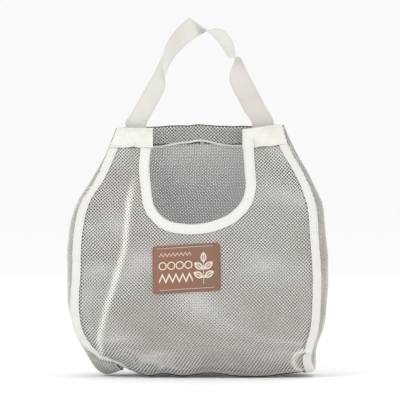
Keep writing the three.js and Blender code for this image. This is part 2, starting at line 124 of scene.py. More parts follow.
# Strap edges, from the left foot to the right foot, in millimetres. Each station is one edge's
# [x, height, depth] and the other edge's, from the middle of the hinge line; a smaller depth is
# nearer the front.
STRAP = [
    [-91.5, -1.2, 0, -63.8, -1.2, 0], [-83, 13, 0, -61, 3.5, 0], [-75, 27, 0, -54.5, 15, 0],
    [-63.6, 47, -0.5, -46, 31, -0.5], [-55.5, 61, -1, -41.8, 40, -1],
    [-49.5, 73, -2, -40.6, 47.5, -1.5], [-45.6, 81.5, -3, -41.2, 52, -2.5],
    [-43.2, 85.5, -7, -42, 54.5, -6], [-42, 88.5, -12, -41.6, 57, -10.5],
    [-40.8, 94, -15, -39, 62, -13.5], [-38.2, 100, -16, -35, 71, -15],
    [-33, 109, -15.5, -27.7, 82.6, -15], [-24.6, 118.8, -13.5, -17, 94, -13.5],
    [-14.5, 128.6, -11.5, -0.8, 106.5, -11.5], [-10.5, 130.8, -12, 3.4, 109, -10],
    [-7.2, 128.9, -15.5, 5.7, 110.6, -5.5], [0, 123.4, -19.5, 9, 113, 0.5],
    [8, 117.6, -20.5, 12.6, 115, 3.5], [14.5, 112, -20, 16.4, 116.4, 4.2],
    [21, 105.6, -18, 22, 117.9, 3.5], [27.3, 98.8, -14.5, 29, 117, 2],
    [32.3, 91.5, -11.5, 36.2, 113, 1], [36.4, 84.6, -11.5, 42.3, 105, 1.5],
    [39.2, 80.6, -14.5, 46, 95, 4], [43.6, 80.4, -17, 47.6, 85.8, 7],
    [50.2, 82, -16, 46.6, 77, 8.5], [54.6, 79.6, -11.5, 43.4, 69.2, 8.5],
    [57.8, 74, -6.5, 40.6, 61.6, 7], [62.6, 63.8, -2.5, 40, 53.6, 4.5],
    [69, 51.6, -1, 43.2, 42.5, 2], [76.4, 37.2, 0, 49.4, 31, 1],
    [85.4, 20.4, 0, 57.8, 14.6, 0.5], [96.4, -1.2, 0, 68, -1.2, 0],
]
# Painted warm shade along the webbing, in millimetres from its left end: [middle, reach, depth].
WEBBING_SHADES = [[66, 36, 0.3], [150, 34, 0.6], [302, 60, 0.9]]
TAIL_HEIGHTS = [-26, -20, -14, -8]  # stations of the sewn ends below the hinge line, millimetres

# Gentle waves that lift the base between the points it rests on: [x, width, height], millimetres.
RIPPLES = [[-95, 12, 4.2], [-41, 13, 3.6], [16, 24, 4.6], [110, 16, 3.2]]
# The back's free top edge waves over this depth and half width, in millimetres.
BACK_EDGE_DEPTH, BACK_EDGE_REACH = 37, 64
# A light pull line down the front's left half, in millimetres: [x, z].
PULL_LINE = [[-76, 265], [-86, 222], [-91, 161], [-105, 115], [-115, 84], [-122, 54], [-121, 27]]
# The back hem's lower edge, in millimetres: [x, z].
HEM_EDGE = [[-92, 288], [-75, 288.5], [-50, 289.5], [-24, 293.5], [6, 296], [32, 292], [58, 290],
            [78, 290], [94, 290]]
# A small curled fold in the front's lower right corner, in millimetres: [x, z].
CURL_LINE = [[139, 33], [131, 34.5], [123, 30], [119, 21], [123, 12], [131, 8]]
# Soft bulges of a full bag on the front: [x, z, radius, height], millimetres.
BULGES = [[-55, 62, 62, 1.9], [78, 70, 68, 2.0], [62, 178, 44, 1.3], [-112, 170, 39, 1.4],
          [-118, 110, 39, 1.2], [120, 175, 34, 1.0]]
# How high each feature of the cloth stands and how far it reaches or repeats, in millimetres.
PULL_HEIGHT, PULL_REACH, PULL_TIGHT_REACH = 4.4, 4.4, 3.2
CURL_HEIGHT, CURL_REACH = 3.2, 2.4
PUCKER_HEIGHT, PUCKER_REACH, PUCKER_PITCH = 0.9, 16, 21
SLACK_HEIGHT, SLACK_PITCH = 1.1, 74
GUSSET_WAVE_HEIGHT, GUSSET_WAVE_PITCH = 0.7, 82
FLOOR_GAP = 0.6 * MM          # the side panels stay this far above the surface below


def curve(points):
    """A smooth curve through the points, read by point number (centripetal Catmull-Rom)."""
    p = np.asarray(points, float)
    p = np.concatenate([[2 * p[0] - p[1]], p, [2 * p[-1] - p[-2]]])
    step = np.diff(p, axis=0)
    gap = np.maximum(np.linalg.norm(step, axis=1) ** 0.5, 1e-4)[:, None]
    before, here, after = gap[:-2], gap[1:-1], gap[2:]
    s0, s1, s2 = step[:-2], step[1:-1], step[2:]
    leave = (s0 / before - (s0 + s1) / (before + here) + s1 / here) * here
    reach = (s1 / here - (s1 + s2) / (here + after) + s2 / after) * here
    p0, p1 = p[1:-2], p[2:-1]

    def at(t):
        t = np.clip(np.asarray(t, float), 0, len(p0))
        i = np.minimum(t.astype(int), len(p0) - 1)
        f = (t - i)[..., None]
        return ((2 * f**3 - 3 * f**2 + 1) * p0[i] + (f**3 - 2 * f**2 + f) * leave[i]
                + (3 * f**2 - 2 * f**3) * p1[i] + (f**3 - f**2) * reach[i])
    return at


def side_curves(rows, side):
    """The seam's curve and the outermost line's curve down one side of the bag."""
    r = np.array(rows)
    seam = np.stack([side * r[:, 0] * HALF_WIDTH, r[:, 1] * HALF_DEPTH, r[:, 2] * BODY_HEIGHT], 1)
    outer = np.stack([side * r[:, 3] * HALF_WIDTH, 0 * r[:, 1], r[:, 4] * BODY_HEIGHT], 1)
    return curve(seam), curve(outer)


def middle_curve(rows):
    """The curve down the middle of the front or the back."""
    r = np.array(rows)
    return curve(np.stack([0 * r[:, 0], r[:, 0] * HALF_DEPTH, r[:, 1] * BODY_HEIGHT], 1))


(LEFT_SEAM, LEFT_OUTER), (RIGHT_SEAM, RIGHT_OUTER) = side_curves(LEFT, -1), side_curves(RIGHT, 1)
SEAM = {-1: LEFT_SEAM, 1: RIGHT_SEAM}
OUTER = {-1: LEFT_OUTER, 1: RIGHT_OUTER}
MIDDLE = {-1: middle_curve(FRONT_MIDDLE), 1: middle_curve(BACK_MIDDLE)}


def smoothstep(x, low, high):
    """0 below low, 1 above high, and a smooth rise between them."""
    t = np.clip((x - low) / (high - low), 0, 1)
    return t * t * (3 - 2 * t)


def panel(face, across, row):
    """Front (face -1) or back (face 1): across runs -1 to 1 from the left seam to the right."""
    a, b, m = LEFT_SEAM(row), RIGHT_SEAM(row), MIDDLE[face](row)
    seam = a + (b - a) * ((across + 1) / 2)[..., None]
    belly = 1 - np.abs(across) ** BULGE
    under = smoothstep(row, BASE_ROW - 2, BASE_ROW)
    floor = 1 - smoothstep(np.abs(across), FLAT_SHARE, 1)
    sag = belly + (floor - belly) * under
    y = face * (seam[..., 1] + (m[..., 1] - seam[..., 1]) * belly)
    z = np.maximum(0, seam[..., 2] + (m[..., 2] - seam[..., 2]) * sag)
    x_mm = seam[..., 0] / MM
    lift = sum(h * np.exp(-((x_mm - x) / w) ** 2) for x, w, h in RIPPLES)
    return np.stack([seam[..., 0], y, z + lift * MM * smoothstep(row, BASE_ROW - 3, BASE_ROW)], -1)


def strip(across, along):
    """The net that runs down the front (rows 0 to 12), under the base and up the back (14 to 26)."""
    across, along = np.broadcast_arrays(np.asarray(across, float), np.asarray(along, float))
    row = np.where(along <= FRONT_END, along, STRIP_END - along)
    turn = np.abs(along - FRONT_END - BASE_SPAN / 2)  # 1 at the base's edges, 0 in its middle
    on_base = (along > FRONT_END) & (along < BACK_START)
    row = np.where(on_base, BASE_ROW + np.minimum(1, (1 - turn) / BASE_TURN), row)
    front = (along <= FRONT_END + BASE_SPAN / 2)[..., None]
    point = np.where(front, panel(-1, across, row), panel(1, across, row))
    inner = 1 - BASE_TURN
    point[..., 1] *= np.where(on_base & (turn < inner), turn / inner, 1)
    return point


def normals_of(surface, u, v, flip):
    """Unit normals of a surface that is read by two numbers."""
    step = 1e-3
    du = surface(u + step, v) - surface(u - step, v)
    dv = surface(u, v + step) - surface(u, v - step)
    normal = np.cross(du, dv) * (-1 if flip else 1)
    return normal / np.maximum(np.linalg.norm(normal, axis=-1, keepdims=True), 1e-12)


def distance_to(x, z, line):
    """Distance of each point from a line of [x, z] points, and the nearest point's share of it."""
    line = np.asarray(line, float)
    best, share = np.full(np.shape(x), 1e9), np.zeros(np.shape(x))
    for i, (a, b) in enumerate(zip(line, line[1:])):
        d = b - a
        t = np.clip(((x - a[0]) * d[0] + (z - a[1]) * d[1]) / (d @ d), 0, 1)
        gap = np.hypot(x - a[0] - t * d[0], z - a[1] - t * d[1])
        share = np.where(gap < best, (i + t) / (len(line) - 1), share)
        best = np.minimum(best, gap)
    return best, share


def waves(s, pitch, seed):
    """Uneven waves of about that pitch, between -1 and 1, the same at every run."""
    k = 2 * math.pi / pitch
    return (0.5 * np.sin(k * s + seed) + 0.3 * np.sin(1.63 * k * s + 2.1 * seed)
            + 0.2 * np.sin(2.41 * k * s + 3.7 * seed))


def relief(point, across, along):
    """How far the filled net stands off its smooth shape: bulges, folds, puckers and slack."""
    x, z = point[..., 0] / MM, point[..., 2] / MM
    front = (along < FRONT_END) * smoothstep(z, 4, 30)
    bumps = sum(h * np.exp(-((x - cx) ** 2 + (z - cz) ** 2) / r**2) for cx, cz, r, h in BULGES)
    gap, share = distance_to(x, z, PULL_LINE)
    fading = smoothstep(share, 0, 0.25) * (1 - 0.35 * share)
    pull = PULL_HEIGHT * np.exp(-(gap / PULL_REACH) ** 2) * fading
    curl = CURL_HEIGHT * np.exp(-(distance_to(x, z, CURL_LINE)[0] / CURL_REACH) ** 2)
    edge = np.exp(-((1 - np.abs(across)) * HALF_WIDTH / MM / PUCKER_REACH) ** 2)
    puckers = PUCKER_HEIGHT * edge * waves(z + 3 * along, PUCKER_PITCH, 1.3 + across)
    slack = SLACK_HEIGHT * waves(x + 0.6 * z, SLACK_PITCH, 0.4) * (1 - edge)
    inner_base = smoothstep(along, FRONT_END, FRONT_END + 0.6) * (
        1 - smoothstep(along, BACK_START - 0.6, BACK_START))
    return (front * (bumps + pull + curl) + (puckers + slack) * (1 - inner_base)
            * smoothstep(z, 2, 25)) * MM


def cloth(across, along):
    """Point and outward normal of the finished front, base and back."""
    across, along = np.broadcast_arrays(np.asarray(across, float), np.asarray(along, float))
    smooth = strip(across, along)
    normal = normals_of(strip, across, along, flip=True)
    x, z = smooth[..., 0] / MM, smooth[..., 2] / MM
    top = BODY_HEIGHT / MM
    back_edge = ((along > BACK_START) * smoothstep(z, top - BACK_EDGE_DEPTH, top)
                 * np.exp(-((x / BACK_EDGE_REACH) ** 8)))
    sag = (2.4 * np.exp(-((x / 40) ** 2)) - 1.2 + 0.8 * waves(x, 46, 0.5)) * MM * back_edge
    point = smooth + normal * relief(smooth, across, along)[..., None]
    return point + sag[..., None] * np.array([0, 0, 1]), normal


def gusset(side):
    """Point and outward normal of a side panel: around runs -1 to 1 from the front to the back."""
    def surface(around, row):
        around, row = np.broadcast_arrays(np.asarray(around, float), np.asarray(row, float))
        seam, out = SEAM[side](row), OUTER[side](row)
        bend = 1 - around**2
        x = seam[..., 0] + (out[..., 0] - seam[..., 0]) * bend
        z = seam[..., 2] + (out[..., 2] - seam[..., 2]) * bend
        return np.stack([x, seam[..., 1] * around, np.maximum(z, FLOOR_GAP)], -1)

    def at(around, row):
        around, row = np.asarray(around, float), np.asarray(row, float)
        point = surface(around, row)
        normal = normals_of(surface, around, row, side > 0)
        height = point[..., 2] / MM
        wave = GUSSET_WAVE_HEIGHT * waves(height + 14 * around, GUSSET_WAVE_PITCH, 2.2 + side)
        wave = wave * (1 - around**2) * smoothstep(height, 6, 40)
        return point + normal * (wave * MM)[..., None], normal
    return at


def place(face, x, z):
    """Across and along of the front's or back's point at a given x and height."""
    x, z = np.broadcast_arrays(np.asarray(x, float), np.asarray(z, float))
    above, below = np.zeros(x.shape), np.full(x.shape, float(BASE_ROW - 0.01))
    for _ in range(26):
        row = (above + below) / 2
        a, b = LEFT_SEAM(row)[..., 0], RIGHT_SEAM(row)[..., 0]
        across = 2 * (x - a) / (b - a) - 1
        high = panel(face, across, row)[..., 2] > z
        above, below = np.where(high, row, above), np.where(high, below, row)
    return across, row if face < 0 else STRIP_END - row


def on_face(face, x, z, lift=0.0):
    """A point that stands lift off the front or back at a given x and height, and its normal."""
    point, normal = cloth(*place(face, x, z))
    return point + normal * np.asarray(lift)[..., None], normal


def seam_x(side, z):
    """The side seam's x at a given height on the upper half of the bag."""
    rows = np.linspace(0, BASE_ROW, 400)
    line = SEAM[side](rows)
    return np.interp(z, line[::-1, 2], line[::-1, 0])


def mouth_edge(offset, steps=150):
    """The mouth's edge moved outwards by offset, as [x, z] points from left to right."""
    line = curve([[x * MM, BODY_HEIGHT - below * MM] for x, below in SCOOP])
    t = np.linspace(0, len(SCOOP) - 1, steps)
    tangent = line(t + 1e-3) - line(t - 1e-3)
    tangent /= np.linalg.norm(tangent, axis=1, keepdims=True)
    return line(t) + offset * np.stack([tangent[:, 1], -tangent[:, 0]], 1)


def outside_mouth(x, z):
    """Signed distance from the mouth's edge, positive on the net's side."""
    edge = mouth_edge(0)
    low = np.argmin(edge[:, 1])
    left, right = edge[: low + 1][::-1], edge[low:]
    inside = ((z > edge[low, 1]) & (x > np.interp(z, left[:, 1], left[:, 0]))
              & (x < np.interp(z, right[:, 1], right[:, 0])))
    gap, _ = distance_to(x, z, edge)
    return np.where(inside, -gap, gap)


# ---- Meshes -------------------------------------------------------------------------------------
def new_object(name, mesh):
    piece = bpy.data.objects.new(name, mesh)
    bpy.context.scene.collection.objects.link(piece)
    return piece


def grid_faces(rows, columns):
    """Corner numbers of the square faces of a grid."""
    index = np.arange(rows * columns).reshape(rows, columns)
    corners = index[:-1, :-1], index[:-1, 1:], index[1:, 1:], index[1:, :-1]
    return np.stack(corners, -1).reshape(-1, 4)


def ribbon(name, middle, thickness, size, material, flip=False, smooth_angle=50):
    """A closed strip of cloth round a grid of middle points, [row, column]. size gives its UV map
    in metres: how wide it is across the columns and how long down the rows."""
    rows, columns = middle.shape[:2]
    across, down = np.gradient(middle, axis=1), np.gradient(middle, axis=0)
    normal = np.cross(across, down)
    normal /= np.maximum(np.linalg.norm(normal, axis=-1, keepdims=True), 1e-12)
    normal *= -1 if flip else 1
    half = np.broadcast_to(np.asarray(thickness, float) / 2, (rows, columns))[..., None]
    sides = np.stack([middle + normal * half, middle - normal * half]).reshape(-1, 3)
    top = grid_faces(rows, columns)
    top = top[:, ::-1] if flip else top
    count = rows * columns
    index = np.arange(count).reshape(rows, columns)
    rim = np.concatenate([index[0], index[1:, -1], index[-1, -2::-1], index[-2:0:-1, 0]])
    rim = rim if flip else rim[::-1]
    after = np.roll(rim, -1)
    wall = np.stack([rim, after, after + count, rim + count], 1)
    faces = np.concatenate([top, top[:, ::-1] + count, wall])
    mesh = bpy.data.meshes.new(name)
    mesh.from_pydata(sides.tolist(), [], faces.tolist())
    u, v = np.meshgrid(np.linspace(0, size[0], columns), np.linspace(0, size[1], rows))
    uv = np.tile(np.stack([u, v], -1).reshape(-1, 2), (2, 1))
    loops = np.empty(len(mesh.loops), int)
    mesh.loops.foreach_get("vertex_index", loops)
    mesh.uv_layers.new(name="UVMap").data.foreach_set("uv", uv[loops].ravel().astype(np.float32))
    mesh.polygons.foreach_set("use_smooth", [True] * len(mesh.polygons))
    mesh.set_sharp_from_angle(angle=math.radians(smooth_angle))
    mesh.materials.append(material)
    mesh.validate()
    return new_object(name, mesh)


def lengths(points):
    """Length along a line of points up to each of them."""
    return np.concatenate([[0], np.cumsum(np.linalg.norm(np.diff(points, axis=0), axis=1))])


def spread(values, points, pitch):
    """Values spaced evenly by the length of the line of points that they belong to."""
    run = lengths(points)
    count = max(2, round(run[-1] / pitch))
    return np.interp(np.linspace(0, run[-1], count + 1), run, values)


# ---- Node trees ---------------------------------------------------------------------------------
def maths(operation):
    """An operator on a Value, and the same operator's reflected form."""
    def plain(self, other):
        return self.math(operation, self, other)

    def reflected(self, other):
        return self.math(operation, other, self)
    return plain, reflected


class Value:
    """A number in a node tree, so that an expression on it adds its Math nodes."""

    def __init__(self, tree, socket):
        self.tree, self.socket = tree, socket

    def math(self, operation, *values):
        sockets = dict(enumerate(values))
        node = self.tree.node("ShaderNodeMath", {"operation": operation}, sockets)
        return Value(self.tree, node.outputs[0])

    __add__, __radd__ = maths("ADD")
    __sub__, __rsub__ = maths("SUBTRACT")
    __mul__, __rmul__ = maths("MULTIPLY")
    __truediv__, __rtruediv__ = maths("DIVIDE")
    __pow__, __rpow__ = maths("POWER")
    __gt__, __lt__ = maths("GREATER_THAN")

    def least(self, other):
        return self.math("MINIMUM", self, other)

    def most(self, other):
        return self.math("MAXIMUM", self, other)

    def __abs__(self):
        return self.math("ABSOLUTE", self)

    def sine(self):
        return self.math("SINE", self)

    def fraction(self):
        return self.math("FRACT", self)

    def share(self):
        """The number kept between 0 and 1."""
        return self.most(0.0).least(1.0)


class Tree:
    """Adds nodes to a node tree: a node's settings come first, then its sockets' values or links."""

    def __init__(self, node_tree):
        self.tree = node_tree

    def node(self, kind, settings=None, sockets=None):
        node = self.tree.nodes.new(kind)
        for name, value in (settings or {}).items():
            setattr(node, name, value)
        for key, value in (sockets or {}).items():
            self.set(node.inputs[key], value)
        return node

    def set(self, socket, value):
        value = value.socket if isinstance(value, Value) else value
        if isinstance(value, bpy.types.NodeSocket):
            self.tree.links.new(value, socket)
        else:
            socket.default_value = value

    def value(self, kind, output, settings=None, sockets=None):
        return Value(self, self.node(kind, settings, sockets).outputs[output])


class Finish(Tree):
    """A material on one Principled BSDF."""

    def __init__(self, name, **constants):
        self.material = bpy.data.materials.new(name)
        self.material.use_nodes = True
        super().__init__(self.material.node_tree)
        self.tree.nodes.clear()
        self.shader = self.node("ShaderNodeBsdfPrincipled", sockets=constants)
        self.node("ShaderNodeOutputMaterial", sockets={"Surface": self.shader.outputs[0]})
        self.coordinates = self.node("ShaderNodeTexCoord")

    def noise(self, scale, detail=2.0, roughness=0.5):
        sockets = {"Vector": self.coordinates.outputs["Object"], "Scale": scale,
                   "Detail": detail, "Roughness": roughness}
        return self.value("ShaderNodeTexNoise", "Fac", sockets=sockets)

    def painted_shade(self, base, scale, tint):
        """The base colour with soft patches of a painted warm shade."""
        patches = ((self.noise(scale, 1.0) - 0.43) * 5).most(0.0).least(0.8)
        return self.mix(patches, base, rgba(tint))

    def along_cloth(self):
        """The piece's own width and length, in millimetres."""
        split = self.node("ShaderNodeSeparateXYZ", sockets={0: self.coordinates.outputs["UV"]})
        return tuple(Value(self, split.outputs[i]) * (1 / MM) for i in (0, 1))

    def mix(self, factor, a, b):
        node = self.node("ShaderNodeMix", {"data_type": "RGBA"}, {0: factor, 6: a, 7: b})
        return node.outputs[2]

    def colour(self, value):
        self.set(self.shader.inputs["Base Color"], value)

    def roughness(self, value):
        self.set(self.shader.inputs["Roughness"], value)

    def bump(self, height, distance, strength=1.0):
        """Raises the surface by a height, and returns the finished material."""
        sockets = {"Height": height, "Distance": distance, "Strength": strength}
        node = self.node("ShaderNodeBump", sockets=sockets)
        self.set(self.shader.inputs["Normal"], node.outputs[0])
        return self.material


def rgba(colour, shade=1.0):
    """A colour with its alpha, darker or lighter by a shade."""
    return (*(min(1.0, c * shade) for c in colour[:3]), 1.0)


def twill(u, v, pitch):
    """Slanted ribs of a twill tape, from 0 in the grooves to 1 on the crests."""
    k = 2 * math.pi / pitch
    slant = ((u + v) * k).sine()
    rib = ((u - v) * (k * 0.5)).sine()
    return slant * 0.38 + rib * 0.12 + 0.5


def plain_weave(u, v, pitch):
    """Over-and-under floats of a plain weave, from 0 to 1."""
    k = math.pi / pitch
    return abs((u * k).sine() * (v * k).sine()) ** 0.6


def net_finish(name, settings):
    """Knitted thread: pale on its crests, painted shade on its flanks (narrower where the pull lines
    draw the net tight) and greyer where it is handled.
    """
    finish = Finish(name, **{"Sheen Weight": 0.25, "Sheen Roughness": 0.5})
    crest = finish.value("ShaderNodeAttribute", "Fac", {"attribute_name": "crest"})
    patches = finish.noise(22, 2.0)
    filament = finish.noise(2600, 2.0, 0.6)
    worn = finish.mix((patches - 0.45).most(0.0) * 1.2, rgba(settings.colour),
                      rgba(settings.dust_colour))
    thread = finish.mix(filament * 0.22, worn, rgba(settings.colour, 0.7))
    tight = finish.value("ShaderNodeAttribute", "Fac", {"attribute_name": "tight"})
    # Painted shade: lit is the share of each thread left pale, and the rest of its flanks get the
    # dark painted shade, which narrows where the net is drawn tight.
    lit = ((crest - 0.56 + tight * 0.5) * 6).share()
    finish.colour(finish.mix(lit, rgba(settings.flank_shade_colour), thread))
    finish.roughness(0.68 + filament * 0.2)
    return finish.bump(filament, 0.00018, 0.6)


def tape_finish(name, colour, pitch, painted_shade=None):
    """Twill tape with painted shade in its grooves, and soft patches of painted warm shade where a
    shade colour is given.
    """
    finish = Finish(name, **{"Sheen Weight": 0.3, "Sheen Roughness": 0.45})
    u, v = finish.along_cloth()
    weave = twill(u, v, pitch)
    wash = finish.noise(38, 3.0)
    fuzz = finish.noise(1500, 3.0, 0.65)
    base = finish.mix(wash, rgba(colour, 0.92), rgba(colour, 1.04))
    if painted_shade:
        base = finish.painted_shade(base, 48, painted_shade)
    # Painted shade: the twill's grooves are painted darker than its crests.
    threads = finish.mix(weave, rgba(colour, 0.78), base)
    finish.colour(finish.mix(fuzz * 0.16, threads, rgba(colour, 0.8)))
    finish.roughness(0.72 + fuzz * 0.18)
    return finish.bump(weave * 0.8 + fuzz * 0.35, 0.00016, 0.7)


def webbing_finish(name, settings):
    """Plain woven webbing with a line near each edge, painted shade in its weave's grooves and in
    that line, and painted warm shade along its length.
    """
    finish = Finish(name, **{"Sheen Weight": 0.25, "Sheen Roughness": 0.4})
    u, v = finish.along_cloth()
    width = settings.width / MM
    ribs = plain_weave(u, v, settings.weave / MM)
    edge = u.least(width - u)
    groove = (1 - abs(edge - settings.edge_line / MM) / 0.55).most(0.0)
    wash = finish.noise(30, 3.0)
    fuzz = finish.noise(1700, 3.0, 0.6)
    base = finish.mix(wash, rgba(settings.colour, 0.94), rgba(settings.colour, 1.04))
    # Painted shade: warm shade laid along the webbing's length where WEBBING_SHADES says.
    shade = 0.0
    for middle, reach, depth in WEBBING_SHADES:
        shade = (1 - abs(v - middle) / reach).most(0.0) * depth + shade
    base = finish.mix(shade, base, rgba(settings.shade_colour))
    # Painted shade: the weave's grooves and the edge line's groove are painted darker.
    woven = finish.mix(ribs, rgba(settings.colour, 0.72), base)
    groove_shaded = finish.mix(groove * 0.45, woven, rgba(settings.colour, 0.55))
    finish.colour(finish.mix(fuzz * 0.14, groove_shaded, rgba(settings.colour, 0.75)))
    finish.roughness(0.66 + fuzz * 0.2)
    return finish.bump(ribs + fuzz * 0.25 - groove * 0.8, 0.00028, 0.8)


def label_finish(name, settings):
    """Brown woven label with cream rule lines, rows of zigzags and rings, a sprig of leaves and
    painted shade in its weave's grooves.
    """
    finish = Finish(name, **{"Sheen Weight": 0.2, "Sheen Roughness": 0.5})
    u, v = finish.along_cloth()
    width, height = settings.width / MM, settings.height / MM

    def bar(left, right, top, bottom, soft=0.18):
        half, middle = (right - left) / 2, (left + right) / 2
        rise, centre = (bottom - top) / 2, (top + bottom) / 2
        inside_x = ((half - abs(u - middle)) / soft).share()
        inside_y = ((rise - abs(v - centre)) / soft).share()
        return inside_x * inside_y

    def zigzag(left, right, top, bottom, pitch, reach):
        swing = abs(((u - left) / pitch).fraction() - 0.5) * 2
        off = abs(v - top - swing * (bottom - top))
        line = ((reach - off) * 1.5).share()
        return bar(left, right, top - reach, bottom + reach) * line

    def rings(left, right, centre, radius, pitch):
        x = (((u - left) / pitch).fraction() - 0.5) * pitch
        away = (x * x + (v - centre) * (v - centre)) ** 0.5
        line = ((0.75 - abs(away - radius)) * 4).share()
        return bar(left, right, centre - pitch / 2, centre + pitch / 2) * line

    def leaf(x, y, angle, length, plump):
        c, s = math.cos(math.radians(angle)), math.sin(math.radians(angle))
        along = ((u - x) * c + (v - y) * s) / length
        off = abs((u - x) * -s + (v - y) * c) / (length * plump)
        edge = along * (1 - along) * 4 - off
        body = (edge * 4).share()
        inside = ((edge - 0.42) * 5).share()
        vein = ((1 - off * 5).most(0.0) * 2).least(1.0)
        return body * (1 - inside * (1 - vein))

    stem = 63
    motifs = [zigzag(8, 48, 9.5, 13.5, 5, 0.9), rings(7, 49.4, 25, 4.4, 10.6),
              zigzag(7.5, 49.5, 36, 45, 8.4, 2.3), bar(stem - 0.4, stem + 0.4, 20, 50)]
    for y, angle, length in ((24, -90, 14), (32, -38, 15), (32, -142, 15), (42, -30, 15),
                             (42, -150, 15)):
        motifs.append(leaf(stem, y, angle, length, 0.3))
    print_mask = bar(5, width - 9, 3.0, 3.6) + bar(8, width - 8, height - 4.6, height - 4.0)
    for motif in motifs:
        print_mask = print_mask.most(motif)

    ribs = plain_weave(u, v, settings.weave / MM)
    fuzz = finish.noise(1400, 3.0, 0.6)
    across = (u / width).share()
    # The ground turns darker and less red towards the label's right.
    ground = finish.mix(across, rgba(settings.colour), rgba(settings.right_ground_colour))
    # Painted shade: the weave's grooves are painted darker than the label's ground.
    woven = finish.mix(ribs, rgba(settings.colour, 0.82), ground)
    worn = (print_mask * (0.72 + fuzz * 0.4)).least(1.0)
    finish.colour(finish.mix(worn, woven, rgba(settings.print_colour)))
    finish.roughness(0.62 + fuzz * 0.2)
    return finish.bump(ribs + worn * 0.6, 0.00014, 0.7)


def thread_finish(name, colour):
    """Fuzzy sewing thread."""
    finish = Finish(name, **{"Sheen Weight": 0.2})
    fuzz = finish.noise(2200, 2.0)
    finish.colour(finish.mix(fuzz, rgba(colour, 0.8), rgba(colour)))
    finish.roughness(0.6 + fuzz * 0.2)
    return finish.bump(fuzz, 0.0001, 0.6)


def finish_of(name, make, *args):
    """The named material, made on first use."""
    return bpy.data.materials.get(name) or make(name, *args)


# ---- Geometry Nodes -----------------------------------------------------------------------------
# A cell stays whole unless more than this share of its corners lies inside the net's rim.
RIM_SHARE = 0.6
MERGE_DISTANCE = 0.00001      # joins the net's two halves along its rim


def geometry_tree(name, inputs):
    """A new Geometry Nodes tree with named inputs, as (tree, input node, output node)."""
    group = bpy.data.node_groups.new(name, "GeometryNodeTree")
    group.interface.new_socket("Geometry", in_out="INPUT", socket_type="NodeSocketGeometry")
    for label, kind in inputs:
        group.interface.new_socket(label, in_out="INPUT", socket_type=kind)
    group.interface.new_socket("Geometry", in_out="OUTPUT", socket_type="NodeSocketGeometry")
    tree = Tree(group)
    return tree, tree.node("NodeGroupInput"), tree.node("NodeGroupOutput")


def finish_tree(tree, geometry, material, output):
    """Ends a tree in real, coloured geometry."""
    real = tree.node("GeometryNodeRealizeInstances", sockets={0: geometry})
    coloured = tree.node("GeometryNodeSetMaterial",
                         sockets={"Geometry": real.outputs[0], "Material": material})
    tree.set(output.inputs[0], coloured.outputs[0])
    return tree.tree


def attribute(tree, name, kind="FLOAT"):
    """A named attribute of the geometry."""
    node = tree.node("GeometryNodeInputNamedAttribute", {"data_type": kind}, {"Name": name})
    return node.outputs[0]


def stored(tree, geometry, name, value):
    """The geometry with a value stored on its points under a name."""
    node = tree.node("GeometryNodeStoreNamedAttribute", {"data_type": "FLOAT", "domain": "POINT"},
                     {"Geometry": geometry, "Name": name, "Value": value})
    return node.outputs[0]


def knit_tree():
    """Turns each cell of a lattice into an open mesh between round threads."""
    inputs = [("Opening", "NodeSocketFloat"), ("Thread", "NodeSocketFloat"),
              ("Material", "NodeSocketMaterial")]
    tree, given, output = geometry_tree("knit_cells", inputs)
    knot, tight = Value(tree, attribute(tree, "knot")), Value(tree, attribute(tree, "tight"))
    cells = tree.node("GeometryNodeExtrudeMesh", {"mode": "FACES"},
                      {"Mesh": given.outputs["Geometry"], "Selection": knot > RIM_SHARE,
                       "Offset Scale": 0.0, "Individual": True})
    shrunk = tree.node("GeometryNodeScaleElements", {"domain": "FACE"},
                       {"Geometry": cells.outputs["Mesh"], "Selection": cells.outputs["Top"],
                        "Scale": Value(tree, given.outputs["Opening"]) * (1 - tight * 0.8)})
    marked = stored(tree, shrunk.outputs[0], "hollow", cells.outputs["Top"])
    opened = tree.node("GeometryNodeDeleteGeometry", {"domain": "FACE", "mode": "ONLY_FACE"},
                       {"Geometry": marked, "Selection": cells.outputs["Top"]})
    hollow = Value(tree, attribute(tree, "hollow")) > 0.1
    outward = attribute(tree, "outward", "FLOAT_VECTOR")
    crest = knot * (1 - hollow)
    raised = stored(tree, opened.outputs[0], "crest", crest)
    half = Value(tree, given.outputs["Thread"]) * 0.5
    halves = []
    for sign in (1, -1):
        offset = tree.node("ShaderNodeVectorMath", {"operation": "SCALE"},
                           {0: outward, "Scale": crest * half * sign})
        moved = tree.node("GeometryNodeSetPosition",
                          sockets={"Geometry": raised, "Offset": offset.outputs[0]})
        halves.append(moved.outputs[0])
    turned = tree.node("GeometryNodeFlipFaces", sockets={0: halves[1]})
    joined = tree.node("GeometryNodeJoinGeometry")
    for part in (turned.outputs[0], halves[0]):
        tree.tree.links.new(part, joined.inputs[0])
    whole = tree.node("GeometryNodeMergeByDistance",
                      sockets={"Geometry": joined.outputs[0], "Distance": MERGE_DISTANCE})
    smooth = tree.node("GeometryNodeSetShadeSmooth", sockets={"Geometry": whole.outputs[0]})
    return finish_tree(tree, smooth.outputs[0], given.outputs["Material"], output)


